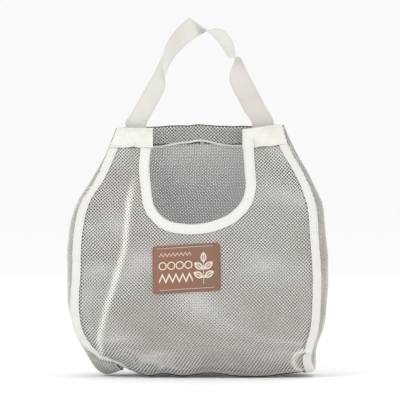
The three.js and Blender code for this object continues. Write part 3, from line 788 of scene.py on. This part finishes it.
def stitch_tree():
    """Lays a row of short stitches along each edge line."""
    inputs = [("Pitch", "NodeSocketFloat"), ("Length", "NodeSocketFloat"),
              ("Thickness", "NodeSocketFloat"), ("Material", "NodeSocketMaterial")]
    tree, given, output = geometry_tree("stitch_rows", inputs)
    line = tree.node("GeometryNodeMeshToCurve", sockets={0: given.outputs["Geometry"]})
    spaced = tree.node("GeometryNodeResampleCurve", {"mode": "LENGTH"},
                       {"Curve": line.outputs[0], "Length": given.outputs["Pitch"]})
    tangent = tree.node("GeometryNodeInputTangent").outputs[0]
    turn = tree.node("FunctionNodeAlignRotationToVector", {"axis": "Z"}, {"Vector": tangent})
    ball = tree.node("GeometryNodeMeshUVSphere",
                     sockets={"Segments": 6, "Rings": 4, "Radius": 0.5})
    size = tree.node("ShaderNodeCombineXYZ",
                     sockets={0: given.outputs["Thickness"], 1: given.outputs["Thickness"],
                              2: given.outputs["Length"]})
    stitches = tree.node("GeometryNodeInstanceOnPoints",
                         sockets={"Points": spaced.outputs[0], "Instance": ball.outputs["Mesh"],
                                  "Rotation": turn.outputs[0], "Scale": size.outputs[0]})
    return finish_tree(tree, stitches.outputs[0], given.outputs["Material"], output)


def made_by(piece, make, **inputs):
    """Runs a node tree on a piece and keeps the result as the piece's plain mesh."""
    group = bpy.data.node_groups.get(make.__name__) or make()
    group.name = make.__name__
    modifier = piece.modifiers.new("nodes", "NODES")
    modifier.node_group = group
    for item in group.interface.items_tree:
        if item.in_out == "INPUT" and item.name in inputs:
            modifier[item.identifier] = inputs[item.name]
    bpy.context.view_layer.update()
    shown = piece.evaluated_get(bpy.context.evaluated_depsgraph_get())
    mesh = bpy.data.meshes.new_from_object(shown)
    piece.modifiers.remove(modifier)
    old, piece.data = piece.data, mesh
    bpy.data.meshes.remove(old)
    mesh.name = piece.name
    if not mesh.polygons:
        raise RuntimeError(f"{piece.name} came out empty")
    return piece


# ---- Net ----------------------------------------------------------------------------------------
def drawn_tight(points):
    """Between 0 and 1, how far the front's pull lines close the net's openings."""
    x, z = points[..., 0] / MM, points[..., 2] / MM
    pull, share = distance_to(x, z, PULL_LINE)
    curl = distance_to(x, z, CURL_LINE)[0]
    fading = smoothstep(share, 0, 0.2) * (1 - 0.4 * share)
    return np.maximum(np.exp(-(pull / PULL_TIGHT_REACH) ** 2) * fading,
                      np.exp(-(curl / CURL_REACH) ** 2))


class Lattice:
    """Diamond cells laid on a cloth: vertices on a half-pitch grid, each cell four of them."""

    def __init__(self, surface, first, last, pitch):
        half = pitch / 2
        rows = np.linspace(first, last, 1500)
        self.v = spread(rows, surface(0 * rows, rows)[0], half)
        shares = np.linspace(-1, 1, 161)
        runs = []
        for row in self.v:
            run = lengths(surface(shares, row)[0])
            runs.append(run - np.interp(0, shares, run))
        reach = math.ceil(max(max(-run[0], run[-1]) for run in runs) / half) + 1
        steps = np.arange(-reach, reach + 1) * half
        self.u = np.stack([np.interp(steps, run, shares) for run in runs])
        self.along = np.broadcast_to(self.v[:, None], self.u.shape)
        self.points, self.normals = surface(self.u, self.along)
        rows, columns = self.u.shape
        j, i = np.meshgrid(np.arange(rows), np.arange(1, columns - 1), indexing="ij")
        odd = (i + j) % 2 == 1
        j, i = j[odd], i[odd]
        index = np.arange(rows * columns).reshape(rows, columns)
        up, down = np.maximum(j - 1, 0), np.minimum(j + 1, rows - 1)
        self.cells = np.stack([index[up, i], index[j, i + 1], index[down, i], index[j, i - 1]], 1)
        p = self.points.reshape(-1, 3)[self.cells]
        area = 0.5 * np.linalg.norm(np.cross(p[:, 2] - p[:, 0], p[:, 3] - p[:, 1]), axis=1)
        kept = area > 0.06 * pitch**2
        self.cells, self.area = self.cells[kept], area[kept]
        self.centres = p[kept].mean(axis=1)
        self.rows = self.along.reshape(-1)[self.cells].mean(axis=1)

    def piece(self, name, wanted, settings, tight=0.0):
        """Knits the wanted cells into one named piece, and returns it with its cloth's area."""
        cells = self.cells[wanted]
        used, cells = np.unique(cells, return_inverse=True)
        cells = cells.reshape(-1, 4)
        edges = np.sort(np.stack([cells, np.roll(cells, -1, axis=1)], -1).reshape(-1, 2), axis=1)
        pairs, counts = np.unique(edges, axis=0, return_counts=True)
        knot = np.ones(len(used), np.float32)
        knot[pairs[counts == 1].ravel()] = 0
        mesh = bpy.data.meshes.new(name)
        mesh.from_pydata(self.points.reshape(-1, 3)[used].tolist(), [], cells[:, ::-1].tolist())
        drawn = np.broadcast_to(np.asarray(tight, np.float32), self.u.shape).reshape(-1)[used]
        for label, values in (("knot", knot), ("tight", drawn)):
            mesh.attributes.new(label, "FLOAT", "POINT").data.foreach_set("value", values)
        outward = self.normals.reshape(-1, 3)[used].astype(np.float32)
        mesh.attributes.new("outward", "FLOAT_VECTOR", "POINT").data.foreach_set(
            "vector", outward.ravel())
        piece = made_by(new_object(name, mesh), knit_tree, Opening=settings.opening,
                        Thread=settings.thread,
                        Material=finish_of("net_thread", net_finish, settings))
        return piece, float(self.area[wanted].sum())


def row_width(lattice, row):
    """Length of the lattice's net across its row of points nearest to that row, in metres."""
    line = lattice.points[np.argmin(np.abs(lattice.v - row))]
    return float(lengths(line)[-1])


# ---- Sewing -------------------------------------------------------------------------------------
STITCH_LIFT = 0.75            # stitches lie this share of the cloth's thickness off its middle


def stitch_rows(name, lines, settings, thread="stitch_thread", colour=None):
    """One piece of stitches along several lines of points."""
    points, edges, start = [], [], 0
    for line in lines:
        points.extend(line.tolist())
        edges.extend((start + i, start + i + 1) for i in range(len(line) - 1))
        start += len(line)
    mesh = bpy.data.meshes.new(name)
    mesh.from_pydata(points, edges, [])
    piece = made_by(new_object(name, mesh), stitch_tree, Pitch=settings.pitch,
                    Length=settings.length, Thickness=settings.thickness,
                    Material=finish_of(thread, thread_finish, colour or settings.colour))
    piece.data.polygons.foreach_set("use_smooth", [True] * len(piece.data.polygons))
    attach(piece, "bag")
    return piece


def stitched(name, grid, normal, columns, lift, settings):
    """Rows of stitches along some columns of a strip of cloth, lifted off its middle."""
    return stitch_rows(name, [grid[:, c] + normal[:, c] * lift for c in columns], settings)


def folded(width, fold, columns):
    """Stations across a tape folded over an edge, from its inner rim to its outer one: how far
    each lies down its side, and how far it stands off the middle. The inner side is negative."""
    bend = fold * np.sin(np.linspace(-math.pi / 2, math.pi / 2, 9))[1:-1]
    down = np.concatenate([np.linspace(-width, -fold, columns), bend,
                           np.linspace(fold, width, columns)])
    bow = np.sqrt(1 - (1 - np.minimum(np.abs(down) / fold, 1)) ** 2)
    return down, np.sign(down) * fold * bow


def declare_cloth(piece, slot, node, flat, held, sewn_on=(), **more):
    """Attaches a cloth piece to the bag and hides the node that it replaces. What it is made of and
    how it is cut are not used.
    """
    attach(piece, "bag")
    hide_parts(node)


def declare_net(piece, node, width, length, held, area, sewn_on=()):
    """Attaches a piece of net to the bag and hides the node that it replaces. Its area, the cloth's,
    which may be less than its width by length, is not used.
    """
    declare_cloth(piece, "net", node, (width, length), held, sewn_on,
                  area=min(area, width * length))


# ---- Settings -----------------------------------------------------------------------------------
def size(name, text, default):
    """A length in the sidebar."""
    return FloatProperty(name=name, description=text, default=default, min=0, unit="LENGTH")


def tint(name, text, default):
    """A colour in the sidebar."""
    return FloatVectorProperty(name=name, description=text, default=default, size=3, min=0, max=1,
                               subtype="COLOR")


class NetSettings(PropertyGroup):
    pitch: size("Pitch", "Width and height of one diamond of the net", 0.0043)
    thread: size("Thread", "Thickness of the knitted thread", 0.0009)
    opening: FloatProperty(name="Opening", description="Share of each diamond that is open",
                           default=0.42, min=0.1, max=0.95)
    hem: size("Hem depth", "Net turned to the inside along a top edge", 0.022)
    colour: tint("Thread colour", "Colour of the clean thread", (0.90, 0.865, 0.815))
    # Painted shade: the dark colour painted on the threads' flanks.
    flank_shade_colour: tint("Painted flank shade", "Dark shade on the threads' flanks", (0.045, 0.043, 0.04))
    dust_colour: tint("Worn colour", "Colour of the handled patches", (0.62, 0.57, 0.50))


class TapeSettings(PropertyGroup):
    seam_width: size("Seam tape", "Width of the tape over each side seam", 0.0105)
    mouth_width: size("Mouth tape", "Width of the tape round the mouth", 0.0125)
    band_height: size("Shoulder band", "Height of the bands on the front's shoulders", 0.025)
    # Painted shade: the warm colour of the soft shade patches painted on the shoulder bands.
    shade_colour: tint("Shade colour", "Warm shade in the bands' creases", (0.74, 0.65, 0.58))
    edge_width: size("Hem edge", "Width of the tape along the back hem's lower edge", 0.0024)
    thickness: size("Thickness", "Thickness of the tape", 0.0007)
    weave: size("Twill pitch", "Distance between the tape's ribs", 0.0008)
    colour: tint("Tape colour", "Colour of the white tape", (0.84, 0.83, 0.79))
    band_colour: tint("Band colour", "Colour of the shoulder bands", (0.86, 0.865, 0.815))


class WebbingSettings(PropertyGroup):
    width: size("Width", "Width of the strap's webbing", 0.025)
    thickness: size("Thickness", "Thickness of the strap's webbing", 0.0014)
    weave: size("Weave pitch", "Size of one float of the weave", 0.0011)
    edge_line: size("Edge line", "Distance of the woven edge line from the edge", 0.0022)
    colour: tint("Webbing colour", "Colour of the webbing", (0.85, 0.84, 0.79))
    # Painted shade: the warm colour laid along the webbing as shade.
    shade_colour: tint("Shade colour", "Warm shade in the webbing's hollows", (0.66, 0.57, 0.50))


class LabelSettings(PropertyGroup):
    width: size("Width", "Width of the label", 0.084)
    height: size("Height", "Height of the label", 0.059)
    thickness: size("Thickness", "Thickness of the label", 0.0007)
    corner: size("Corner", "Radius of the label's corners", 0.004)
    weave: size("Weave pitch", "Size of one float of the label's weave", 0.0005)
    colour: tint("Ground", "Colour of the label's ground", (0.29, 0.135, 0.085))
    right_ground_colour: tint("Right-hand ground", "Colour of the ground on the right", (0.205, 0.13, 0.085))
    print_colour: tint("Print", "Colour of the printed lines", (0.78, 0.71, 0.62))


class StitchSettings(PropertyGroup):
    pitch: size("Pitch", "Distance between stitches", 0.003)
    length: size("Length", "Length of one stitch", 0.0024)
    thickness: size("Thickness", "Thickness of the thread", 0.00055)
    colour: tint("Thread", "Colour of the sewing thread", (0.83, 0.81, 0.75))


class StageSettings(PropertyGroup):
    floor_colour: tint("Floor", "Colour of the floor", (1.0, 1.0, 1.0))
    light: FloatProperty(name="Light", description="Strength of the key light", default=16, min=0)


SETTINGS = {
    "bag_net": NetSettings, "bag_tape": TapeSettings, "bag_webbing": WebbingSettings,
    "bag_label": LabelSettings, "bag_stitch": StitchSettings, "bag_stage": StageSettings,
}


# ---- Operators ----------------------------------------------------------------------------------
class BAG_OT_stage(Operator):
    """Make the floor, the soft lights and the camera"""
    bl_idname = "produce_bag.stage"
    bl_label = "Stage"

    def execute(self, context):
        settings, scene = context.scene.bag_stage, context.scene
        mesh = bpy.data.meshes.new("floor")
        reach = 12.0
        corners = [(-reach, -reach, 0), (reach, -reach, 0), (reach, reach, 0), (-reach, reach, 0)]
        mesh.from_pydata(corners, [], [(0, 1, 2, 3)])
        finish = Finish("pale_floor", Roughness=0.9)
        finish.colour(rgba(settings.floor_colour))
        mesh.materials.append(finish.material)
        new_object("floor", mesh)

        world = bpy.data.worlds.new("studio")
        world.use_nodes = True
        background = world.node_tree.nodes["Background"]
        background.inputs["Color"].default_value = (1, 1, 1, 1)
        background.inputs["Strength"].default_value = 0.95
        scene.world = world
        middle = Vector((0, 0, 0.2))
        lights = (("key", (-1.3, -1.6, 1.7), 1.2, settings.light),
                  ("fill", (1.8, -1.2, 0.9), 1.4, settings.light * 0.35),
                  ("back", (0.6, 1.8, 1.5), 1.4, settings.light * 0.3))
        for name, spot, span, energy in lights:
            lamp = bpy.data.lights.new(name, "AREA")
            lamp.energy, lamp.size = energy, span
            holder = bpy.data.objects.new(name, lamp)
            scene.collection.objects.link(holder)
            holder.location = spot
            holder.rotation_euler = (middle - holder.location).to_track_quat("-Z", "Y").to_euler()

        camera = bpy.data.objects.new("camera", bpy.data.cameras.new("camera"))
        scene.collection.objects.link(camera)
        distance, view_width, rise = 5.0, 0.504, math.radians(1.5)
        aim = Vector((0.003, 0, 0.2215))
        camera.location = aim + distance * Vector((0, -math.cos(rise), math.sin(rise)))
        camera.rotation_euler = (aim - camera.location).to_track_quat("-Z", "Y").to_euler()
        camera.data.sensor_width = 36
        camera.data.lens = 36 * distance / view_width
        scene.camera = camera
        scene.view_settings.view_transform = "Standard"
        return {"FINISHED"}


class BAG_OT_front_and_back(Operator):
    """Knit the net that runs down the front, under the base and up the back"""
    bl_idname = "produce_bag.front_and_back"
    bl_label = "Front, base and back net"

    def execute(self, context):
        settings = context.scene.bag_net
        net = Lattice(cloth, TOP_ROW, STRIP_END - TOP_ROW, settings.pitch)
        x, z = net.centres[:, 0], net.centres[:, 2]
        ceiling = np.interp(x, [0, seam_x(1, RIGHT_TOP[1])], RIGHT_TOP)
        ceiling = np.where(x < 0, LEFT_TOP, ceiling)
        front = (net.rows < FRONT_END) & (outside_mouth(x, z) > 1.8 * MM) & (z < ceiling - MM)
        base = (net.rows >= FRONT_END) & (net.rows <= BACK_START)
        drop = BODY_HEIGHT + HALF_DEPTH / 2
        for name, node, wanted, row, length, held in (
                ("front_net", "front_mesh_panel", front, WIDEST_ROW, drop, "stretched"),
                ("base_net", "base_mesh_panel", base, FRONT_END + 0.5, 2 * HALF_DEPTH, "laid"),
                ("back_net", "back_mesh_panel", net.rows > BACK_START, STRIP_END - WIDEST_ROW,
                 drop, "stretched")):
            tight = drawn_tight(net.points) if wanted is front else 0.0
            piece, area = net.piece(name, wanted, settings, tight)
            declare_net(piece, node, row_width(net, row), length, held, area)
        return {"FINISHED"}


class BAG_OT_sides(Operator):
    """Knit the two side panels"""
    bl_idname = "produce_bag.sides"
    bl_label = "Side nets"

    def execute(self, context):
        settings = context.scene.bag_net
        for word, side in SIDES:
            net = Lattice(gusset(side), TOP_ROW, LAST_ROW, settings.pitch)
            piece, area = net.piece(f"{word}_side_net", net.rows > 0, settings)
            length = float(lengths(gusset(side)(0 * net.v, net.v)[0])[-1])
            declare_net(piece, f"{word}_side_panel", row_width(net, WIDEST_ROW), length,
                        "stretched", area)
        return {"FINISHED"}


HEM_INSET = 1.7 * MM          # the hems' net lies this far inside the wall's net
HEM_EDGE_INSET = 3.4 * MM     # and the cream tape on the back hem lies this far
BACK_HEM_REACH, SIDE_HEM_REACH = 0.985, 0.9  # shares of the wall's width that the hems take
HEM_SPARE = 1.15              # net knitted for a hem before it is cut, over the hem's depth
HEM_ALLOWANCE = 1.05          # cloth cut for a hem over its depth, with the turn at its top


def hem_edge(tape, stitch):
    """The narrow cream tape along the back hem's lower edge, and its stitches."""
    x, z = (curve(HEM_EDGE)(np.linspace(0, len(HEM_EDGE) - 1, 110)) * MM).T[:, :, None]
    rise = np.linspace(0.5, -0.5, 5)[None, :] * tape.edge_width
    grid, normal = on_face(1, x + 0 * rise, z + rise, 0 * rise - HEM_EDGE_INSET)
    middle = 2
    piece = ribbon("back_hem_edge", grid, tape.thickness,
                   (tape.edge_width, float(lengths(grid[:, middle])[-1])),
                   finish_of("cream_tape", tape_finish, tape.band_colour, tape.weave / MM))
    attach(piece, "bag")
    return [piece, stitched("back_hem_stitches", grid, normal, [middle],
                            -tape.thickness * STITCH_LIFT, stitch)]


class BAG_OT_hems(Operator):
    """Turn the top edges of the back and the sides to the inside"""
    bl_idname = "produce_bag.hems"
    bl_label = "Top hems"

    def execute(self, context):
        settings = context.scene.bag_net

        def turned(surface, reach, start, sign):
            """The wall's surface moved inside, read down from its top edge."""
            def at(across, down):
                point, normal = surface(np.asarray(across) * reach, start + sign * down)
                depth = HEM_INSET * smoothstep(down, -0.05, 0.12)
                return point - normal * depth[..., None], normal
            return at

        def rows_deep(surface, start, sign):
            """How many of the wall's rows the hem's depth takes."""
            rows = np.linspace(0, 1.5, 200)
            return float(np.interp(settings.hem, lengths(surface(0 * rows, start + sign * rows)[0]),
                                   rows))

        pieces = [("back_hem_net", "back_top_hem", cloth, BACK_HEM_REACH, STRIP_END - TOP_ROW, -1)]
        for word, side in SIDES:
            pieces.append((f"{word}_hem_net", f"{word}_side_hem", gusset(side), SIDE_HEM_REACH,
                           TOP_ROW, 1))
        for name, node, surface, reach, start, sign in pieces:
            deep = rows_deep(surface, start, sign) * HEM_SPARE
            net = Lattice(turned(surface, reach, start, sign), 0, deep, settings.pitch)
            x, z = net.centres[:, 0], net.centres[:, 2]
            lowest, sewn_on = BODY_HEIGHT - settings.hem, []
            if node == "back_top_hem":
                edge_x, edge_z = np.array(HEM_EDGE).T * MM
                lowest = np.interp(x, edge_x, edge_z) - 2 * MM
            piece, area = net.piece(name, z > lowest, settings)
            if node == "back_top_hem":
                sewn_on = hem_edge(context.scene.bag_tape, context.scene.bag_stitch)
            declare_net(piece, node, row_width(net, 0), settings.hem * HEM_ALLOWANCE, "folded",
                        area, sewn_on)
        return {"FINISHED"}


class BAG_OT_seam_tapes(Operator):
    """Bind the side seams with white tape and stitch it down"""
    bl_idname = "produce_bag.seam_tapes"
    bl_label = "Seam tapes"

    def execute(self, context):
        tape, stitch = context.scene.bag_tape, context.scene.bag_stitch
        for word, side in SIDES:
            rows = np.linspace(TOP_ROW, STRIP_END - TOP_ROW, 3000)
            line = cloth(0 * rows + side, rows)[0]
            along = spread(rows, line, 2.5 * MM)
            length = float(lengths(line)[-1])
            step = 0.01
            edge = cloth(0 * along + side, along)[0]
            speed = np.linalg.norm(edge - cloth(0 * along + side * (1 - step), along)[0], axis=1)
            run = lengths(edge)
            inset = np.linspace(-0.6 * MM, tape.seam_width, 11)
            shares = inset[None, :] / (speed[:, None] / step)
            point, normal = cloth(side * (1 - shares), along[:, None] + 0 * shares)
            t = (inset - inset[0]) / (inset[-1] - inset[0])
            crown = 0.9 + 0.4 * np.sin(math.pi * t) ** 0.7 - 0.8 * (t < 0.02)
            pucker = 0.3 * waves(run / MM, 13, 0.7 + side)[:, None] * np.sin(math.pi * t)
            curl = 0.3 * (waves(run / MM, 31, 2.9 + side)[:, None] + 1) * t
            lift = (crown[None, :] + pucker + curl) * MM
            grid = point + normal * lift[..., None]
            piece = ribbon(f"{word}_seam_tape", grid, tape.thickness, (tape.seam_width, length),
                           finish_of("white_tape", tape_finish, tape.colour, tape.weave / MM),
                           flip=True)
            thread = stitched(f"{word}_seam_stitches", grid, normal, (2, 8),
                              tape.thickness * STITCH_LIFT, stitch)
            declare_cloth(piece, "tape", f"{word}_seam_binding", (tape.seam_width, length),
                          "stretched", [thread], rests_on=["front_net", "back_net"])
        return {"FINISHED"}


class BAG_OT_mouth_tape(Operator):
    """Fold tape over the mouth's edge and stitch it down"""
    bl_idname = "produce_bag.mouth_tape"
    bl_label = "Mouth tape"

    def execute(self, context):
        tape, stitch = context.scene.bag_tape, context.scene.bag_stitch
        edge = mouth_edge(0, 170)
        under_band = np.where(edge[:, 0] < 0, 0.1, 0.55)  # share of the band's height it runs up
        top = LEFT_TOP - tape.band_height * (1 - under_band)
        kept = edge[:, 1] < top
        out = mouth_edge(MM, 170)[kept] - edge[kept]
        edge = edge[kept]
        length = float(lengths(edge)[-1])
        out /= np.linalg.norm(out, axis=1, keepdims=True)
        across, lift = folded(tape.mouth_width, 1.1 * MM, 7)
        away = np.abs(across)
        run = lengths(edge) / MM
        wave = 0.35 * MM * waves(run, 12, 4.1)[:, None] * np.sin(math.pi * away / tape.mouth_width)
        flare = 0.6 * MM * waves(run, 27, 1.2)[:, None] * (away / tape.mouth_width) ** 2
        x = edge[:, 0, None] + out[:, 0, None] * away
        z = edge[:, 1, None] + out[:, 1, None] * away
        band_foot = LEFT_TOP - tape.band_height
        over_band = 2.1 * MM * smoothstep(z, band_foot - 3 * MM, band_foot + MM) * (x > 0)
        height = lift + np.sign(across) * (wave + flare + 0.1 * MM) + (across > 0) * over_band
        grid, normal = on_face(-1, x, z, height)
        piece = ribbon("mouth_tape", grid, tape.thickness, (2 * tape.mouth_width, length),
                       finish_of("white_tape", tape_finish, tape.colour, tape.weave / MM),
                       flip=True)
        thread = stitched("mouth_stitches", grid, normal, (-2, -7),
                          tape.thickness * STITCH_LIFT, stitch)
        declare_cloth(piece, "tape", "scoop_binding", (2 * tape.mouth_width, length), "folded",
                      [thread], rests_on=["front_net"])
        return {"FINISHED"}


BAND_WEIGHT = 1.2             # the bands' cloth is this much thicker and coarser than the tape


class BAG_OT_shoulder_bands(Operator):
    """Fold the cream bands over the front's shoulders"""
    bl_idname = "produce_bag.shoulder_bands"
    bl_label = "Shoulder bands"

    def execute(self, context):
        tape, stitch = context.scene.bag_tape, context.scene.bag_stitch
        mouth = mouth_edge(0)
        for word, side in SIDES:
            inner = mouth[0 if side < 0 else -1, 0] - side * 1.2 * MM
            low, high = (LEFT_TOP, LEFT_TOP) if side < 0 else RIGHT_TOP
            height, thickness = tape.band_height, tape.thickness * BAND_WEIGHT
            down, lift = folded(height, 1.3 * MM, 12)
            u = np.linspace(0, 1, 36)
            edge = low + (high - low) * u
            z = edge[:, None] + 1.2 * MM - np.abs(down)[None, :]
            seam = seam_x(side, z)
            outer = seam - side * 0.6 * MM
            x = inner + (outer - inner) * u[:, None]
            over_tape = 1 - smoothstep(np.abs(seam - x) / tape.seam_width, 0.95, 1.25)
            crease = band_creases(side, x, z)
            on_front = smoothstep(down, 0, 4 * MM)[None, :]
            height_of = lift[None, :] + on_front * (crease + 1.2 * MM * over_tape)
            grid, normal = on_face(-1, x, z, height_of)
            width = float(np.linalg.norm(grid[-1, -1] - grid[0, -1]))
            # The bands' material carries soft patches of painted warm shade.
            piece = ribbon(f"{word}_band", grid, thickness, (2 * height, width),
                           finish_of("cream_band", tape_finish, tape.band_colour,
                                     tape.weave / MM * BAND_WEIGHT, tape.shade_colour),
                           flip=side > 0)
            thread = stitched(f"{word}_band_stitches", grid[1:-1], normal[1:-1], (-2, -11),
                              tape.thickness * 0.85, stitch)
            declare_cloth(piece, "band", f"{word}_shoulder_band", (2 * height, width), "folded",
                          [thread], rests_on=["front_net"])
        return {"FINISHED"}


def band_creases(side, x, z):
    """Height of the creases pressed into a shoulder band, in metres."""
    if side < 0:
        across = (x / MM + 80) * 0.84 + (z / MM - 298) * 0.54
        ridge = (3.2 * np.exp(-((across + 6) / 3.6) ** 2) - 0.9 * np.exp(-((across - 1) / 3) ** 2)
                 + 1.5 * np.exp(-((across - 9) / 4) ** 2))
    else:
        across = (x / MM - 80) * 0.97 - (z / MM - 300) * 0.25
        ridge = 2.2 * np.exp(-((across - 4) / 5) ** 2) + 1.0 * np.exp(-((across + 12) / 3.5) ** 2)
    return (np.maximum(ridge, -0.3) + 0.3 + 0.25 * waves(x / MM, 17, 1.9 + side)) * MM


STRAP_INSET = 4.2 * MM        # the webbing's middle lies this far inside the back's net


class BAG_OT_strap(Operator):
    """Weave the strap and sew its ends inside the back hem"""
    bl_idname = "produce_bag.strap"
    bl_label = "Strap"

    def execute(self, context):
        settings, stitch = context.scene.bag_webbing, context.scene.bag_stitch

        def tail(foot):
            """Both edges of a sewn end, station by station, below one foot of the strap."""
            middle = (foot[0] + foot[3]) / 2 * MM
            x = middle + np.array([-0.5, 0.5]) * settings.width
            z = HINGE_Z + np.array(TAIL_HEIGHTS) * MM
            point, _ = on_face(1, x[None, :], z[:, None], -STRAP_INSET)
            return point

        table = np.array(STRAP)
        loop = np.stack([table[:, [0, 2, 1]], table[:, [3, 5, 4]]], 1) * MM
        loop += np.array([0, HINGE_Y, HINGE_Z])
        left, right = tail(STRAP[0]), tail(STRAP[-1])[::-1, ::-1]
        edges = np.concatenate([left, loop, right])
        stations = np.linspace(0, len(edges) - 1, 3000)
        first, second = curve(edges[:, 0]), curve(edges[:, 1])
        middle = (first(stations) + second(stations)) / 2
        length = float(lengths(middle)[-1])
        t = spread(stations, middle, 1.6 * MM)
        u = np.linspace(0, 1, 13)[:, None, None]
        grid = (first(t)[None] * (1 - u) + second(t)[None] * u).transpose(1, 0, 2)
        off = np.abs(np.linspace(-1, 1, 13))
        thickness = settings.thickness * (1 - 0.5 * off**8)
        piece = ribbon("strap_webbing", grid, thickness[None, :], (settings.width, length),
                       finish_of("webbing_weave", webbing_finish, settings), flip=True)
        lines = []
        for sewn in (grid[2:14], grid[-14:-2]):
            a, b, c, d = sewn[0, 2], sewn[0, 10], sewn[-1, 10], sewn[-1, 2]
            box_and_cross = (a, b), (b, c), (c, d), (d, a), (a, c), (b, d)
            lines += [np.linspace(p, q, 12) for p, q in box_and_cross]
        normal = np.array([0, -1, 0]) * settings.thickness * 0.62
        thread = stitch_rows("strap_stitches", [line + normal for line in lines], stitch)
        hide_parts("strap", "left_strap_tail", "right_strap_tail")
        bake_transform(piece)
        return {"FINISHED"}


class BAG_OT_label(Operator):
    """Sew the woven label on the front"""
    bl_idname = "produce_bag.label"
    bl_label = "Label"

    def execute(self, context):
        settings, stitch = context.scene.bag_label, context.scene.bag_stitch
        low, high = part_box("label")
        centre = (Vector(low) + Vector(high)) / 2
        tilt, lean = math.radians(3.5), math.radians(1)
        half_w, half_h, corner = settings.width / 2, settings.height / 2, settings.corner

        def rounded(columns, rows):
            """A grid over the label whose corners are drawn in to the corner radius."""
            x = np.linspace(-half_w, half_w, columns)[None, :] + np.zeros((rows, 1))
            z = np.linspace(half_h, -half_h, rows)[:, None] + np.zeros((1, columns))
            a = np.maximum(np.abs(x) - (half_w - corner), 0)
            b = np.maximum(np.abs(z) - (half_h - corner), 0)
            shrink = np.maximum(a, b) / np.maximum(np.hypot(a, b), 1e-9)
            shrink = np.where((a > 0) & (b > 0), shrink, 1)
            x = np.sign(x) * (np.minimum(np.abs(x), half_w - corner) + a * shrink)
            z = np.sign(z) * (np.minimum(np.abs(z), half_h - corner) + b * shrink)
            return x, z

        def laid(x, z, lift=0.0):
            """Points of the tilted label on the front, from its own x and z."""
            wave = 0.3 * MM * waves((x + 0.7 * z) / MM, 36, 0.9)
            across = centre.x + 0.5 * MM + x * math.cos(tilt) - z * math.sin(lean)
            up = centre.z + x * math.sin(tilt) + z * math.cos(lean)
            return on_face(-1, across, up, 1.6 * MM + wave + lift)[0]

        grid = laid(*rounded(85, 61))
        piece = ribbon("label_patch", grid, settings.thickness, (settings.width, settings.height),
                       finish_of("label_print", label_finish, settings), flip=True)
        inset, lift = 1.4 * MM, settings.thickness * 0.6
        w, h = half_w - corner, half_h - corner
        sides = [(-w, half_h - inset, w, half_h - inset), (-w, inset - half_h, w, inset - half_h),
                 (half_w - inset, -h, half_w - inset, h), (inset - half_w, -h, inset - half_w, h)]
        lines = [laid(np.linspace(x0, x1, 40), np.linspace(z0, z1, 40), lift)
                 for x0, z0, x1, z1 in sides]
        thread = stitch_rows("label_stitches", lines, stitch, "label_thread",
                             tuple(settings.colour))
        declare_cloth(piece, "label", "label", (settings.width, settings.height), "laid",
                      [thread], rests_on=["front_net"])
        return {"FINISHED"}


PIECES = (BAG_OT_stage, BAG_OT_front_and_back, BAG_OT_sides, BAG_OT_hems, BAG_OT_seam_tapes,
          BAG_OT_mouth_tape, BAG_OT_shoulder_bands, BAG_OT_strap, BAG_OT_label)


class BAG_PT_sidebar(Panel):
    """Sizes, colours and making steps of the produce bag"""
    bl_label = "Produce Bag"
    bl_space_type = "VIEW_3D"
    bl_region_type = "UI"
    bl_category = "Produce Bag"

    def draw(self, context):
        for name, group in SETTINGS.items():
            box = self.layout.box()
            for field in group.__annotations__:
                box.prop(getattr(context.scene, name), field)
        for step in PIECES:
            self.layout.operator(step.bl_idname)


CLASSES = (*SETTINGS.values(), *PIECES, BAG_PT_sidebar)


def register():
    for cls in CLASSES:
        bpy.utils.register_class(cls)
    for name, group in SETTINGS.items():
        setattr(bpy.types.Scene, name, PointerProperty(type=group))


def unregister():
    for name in SETTINGS:
        delattr(bpy.types.Scene, name)
    for cls in reversed(CLASSES):
        bpy.utils.unregister_class(cls)


def main():
    register()
    for step in PIECES:
        group, name = step.bl_idname.split(".")
        getattr(getattr(bpy.ops, group), name)()


if __name__ == "__main__":
    main()
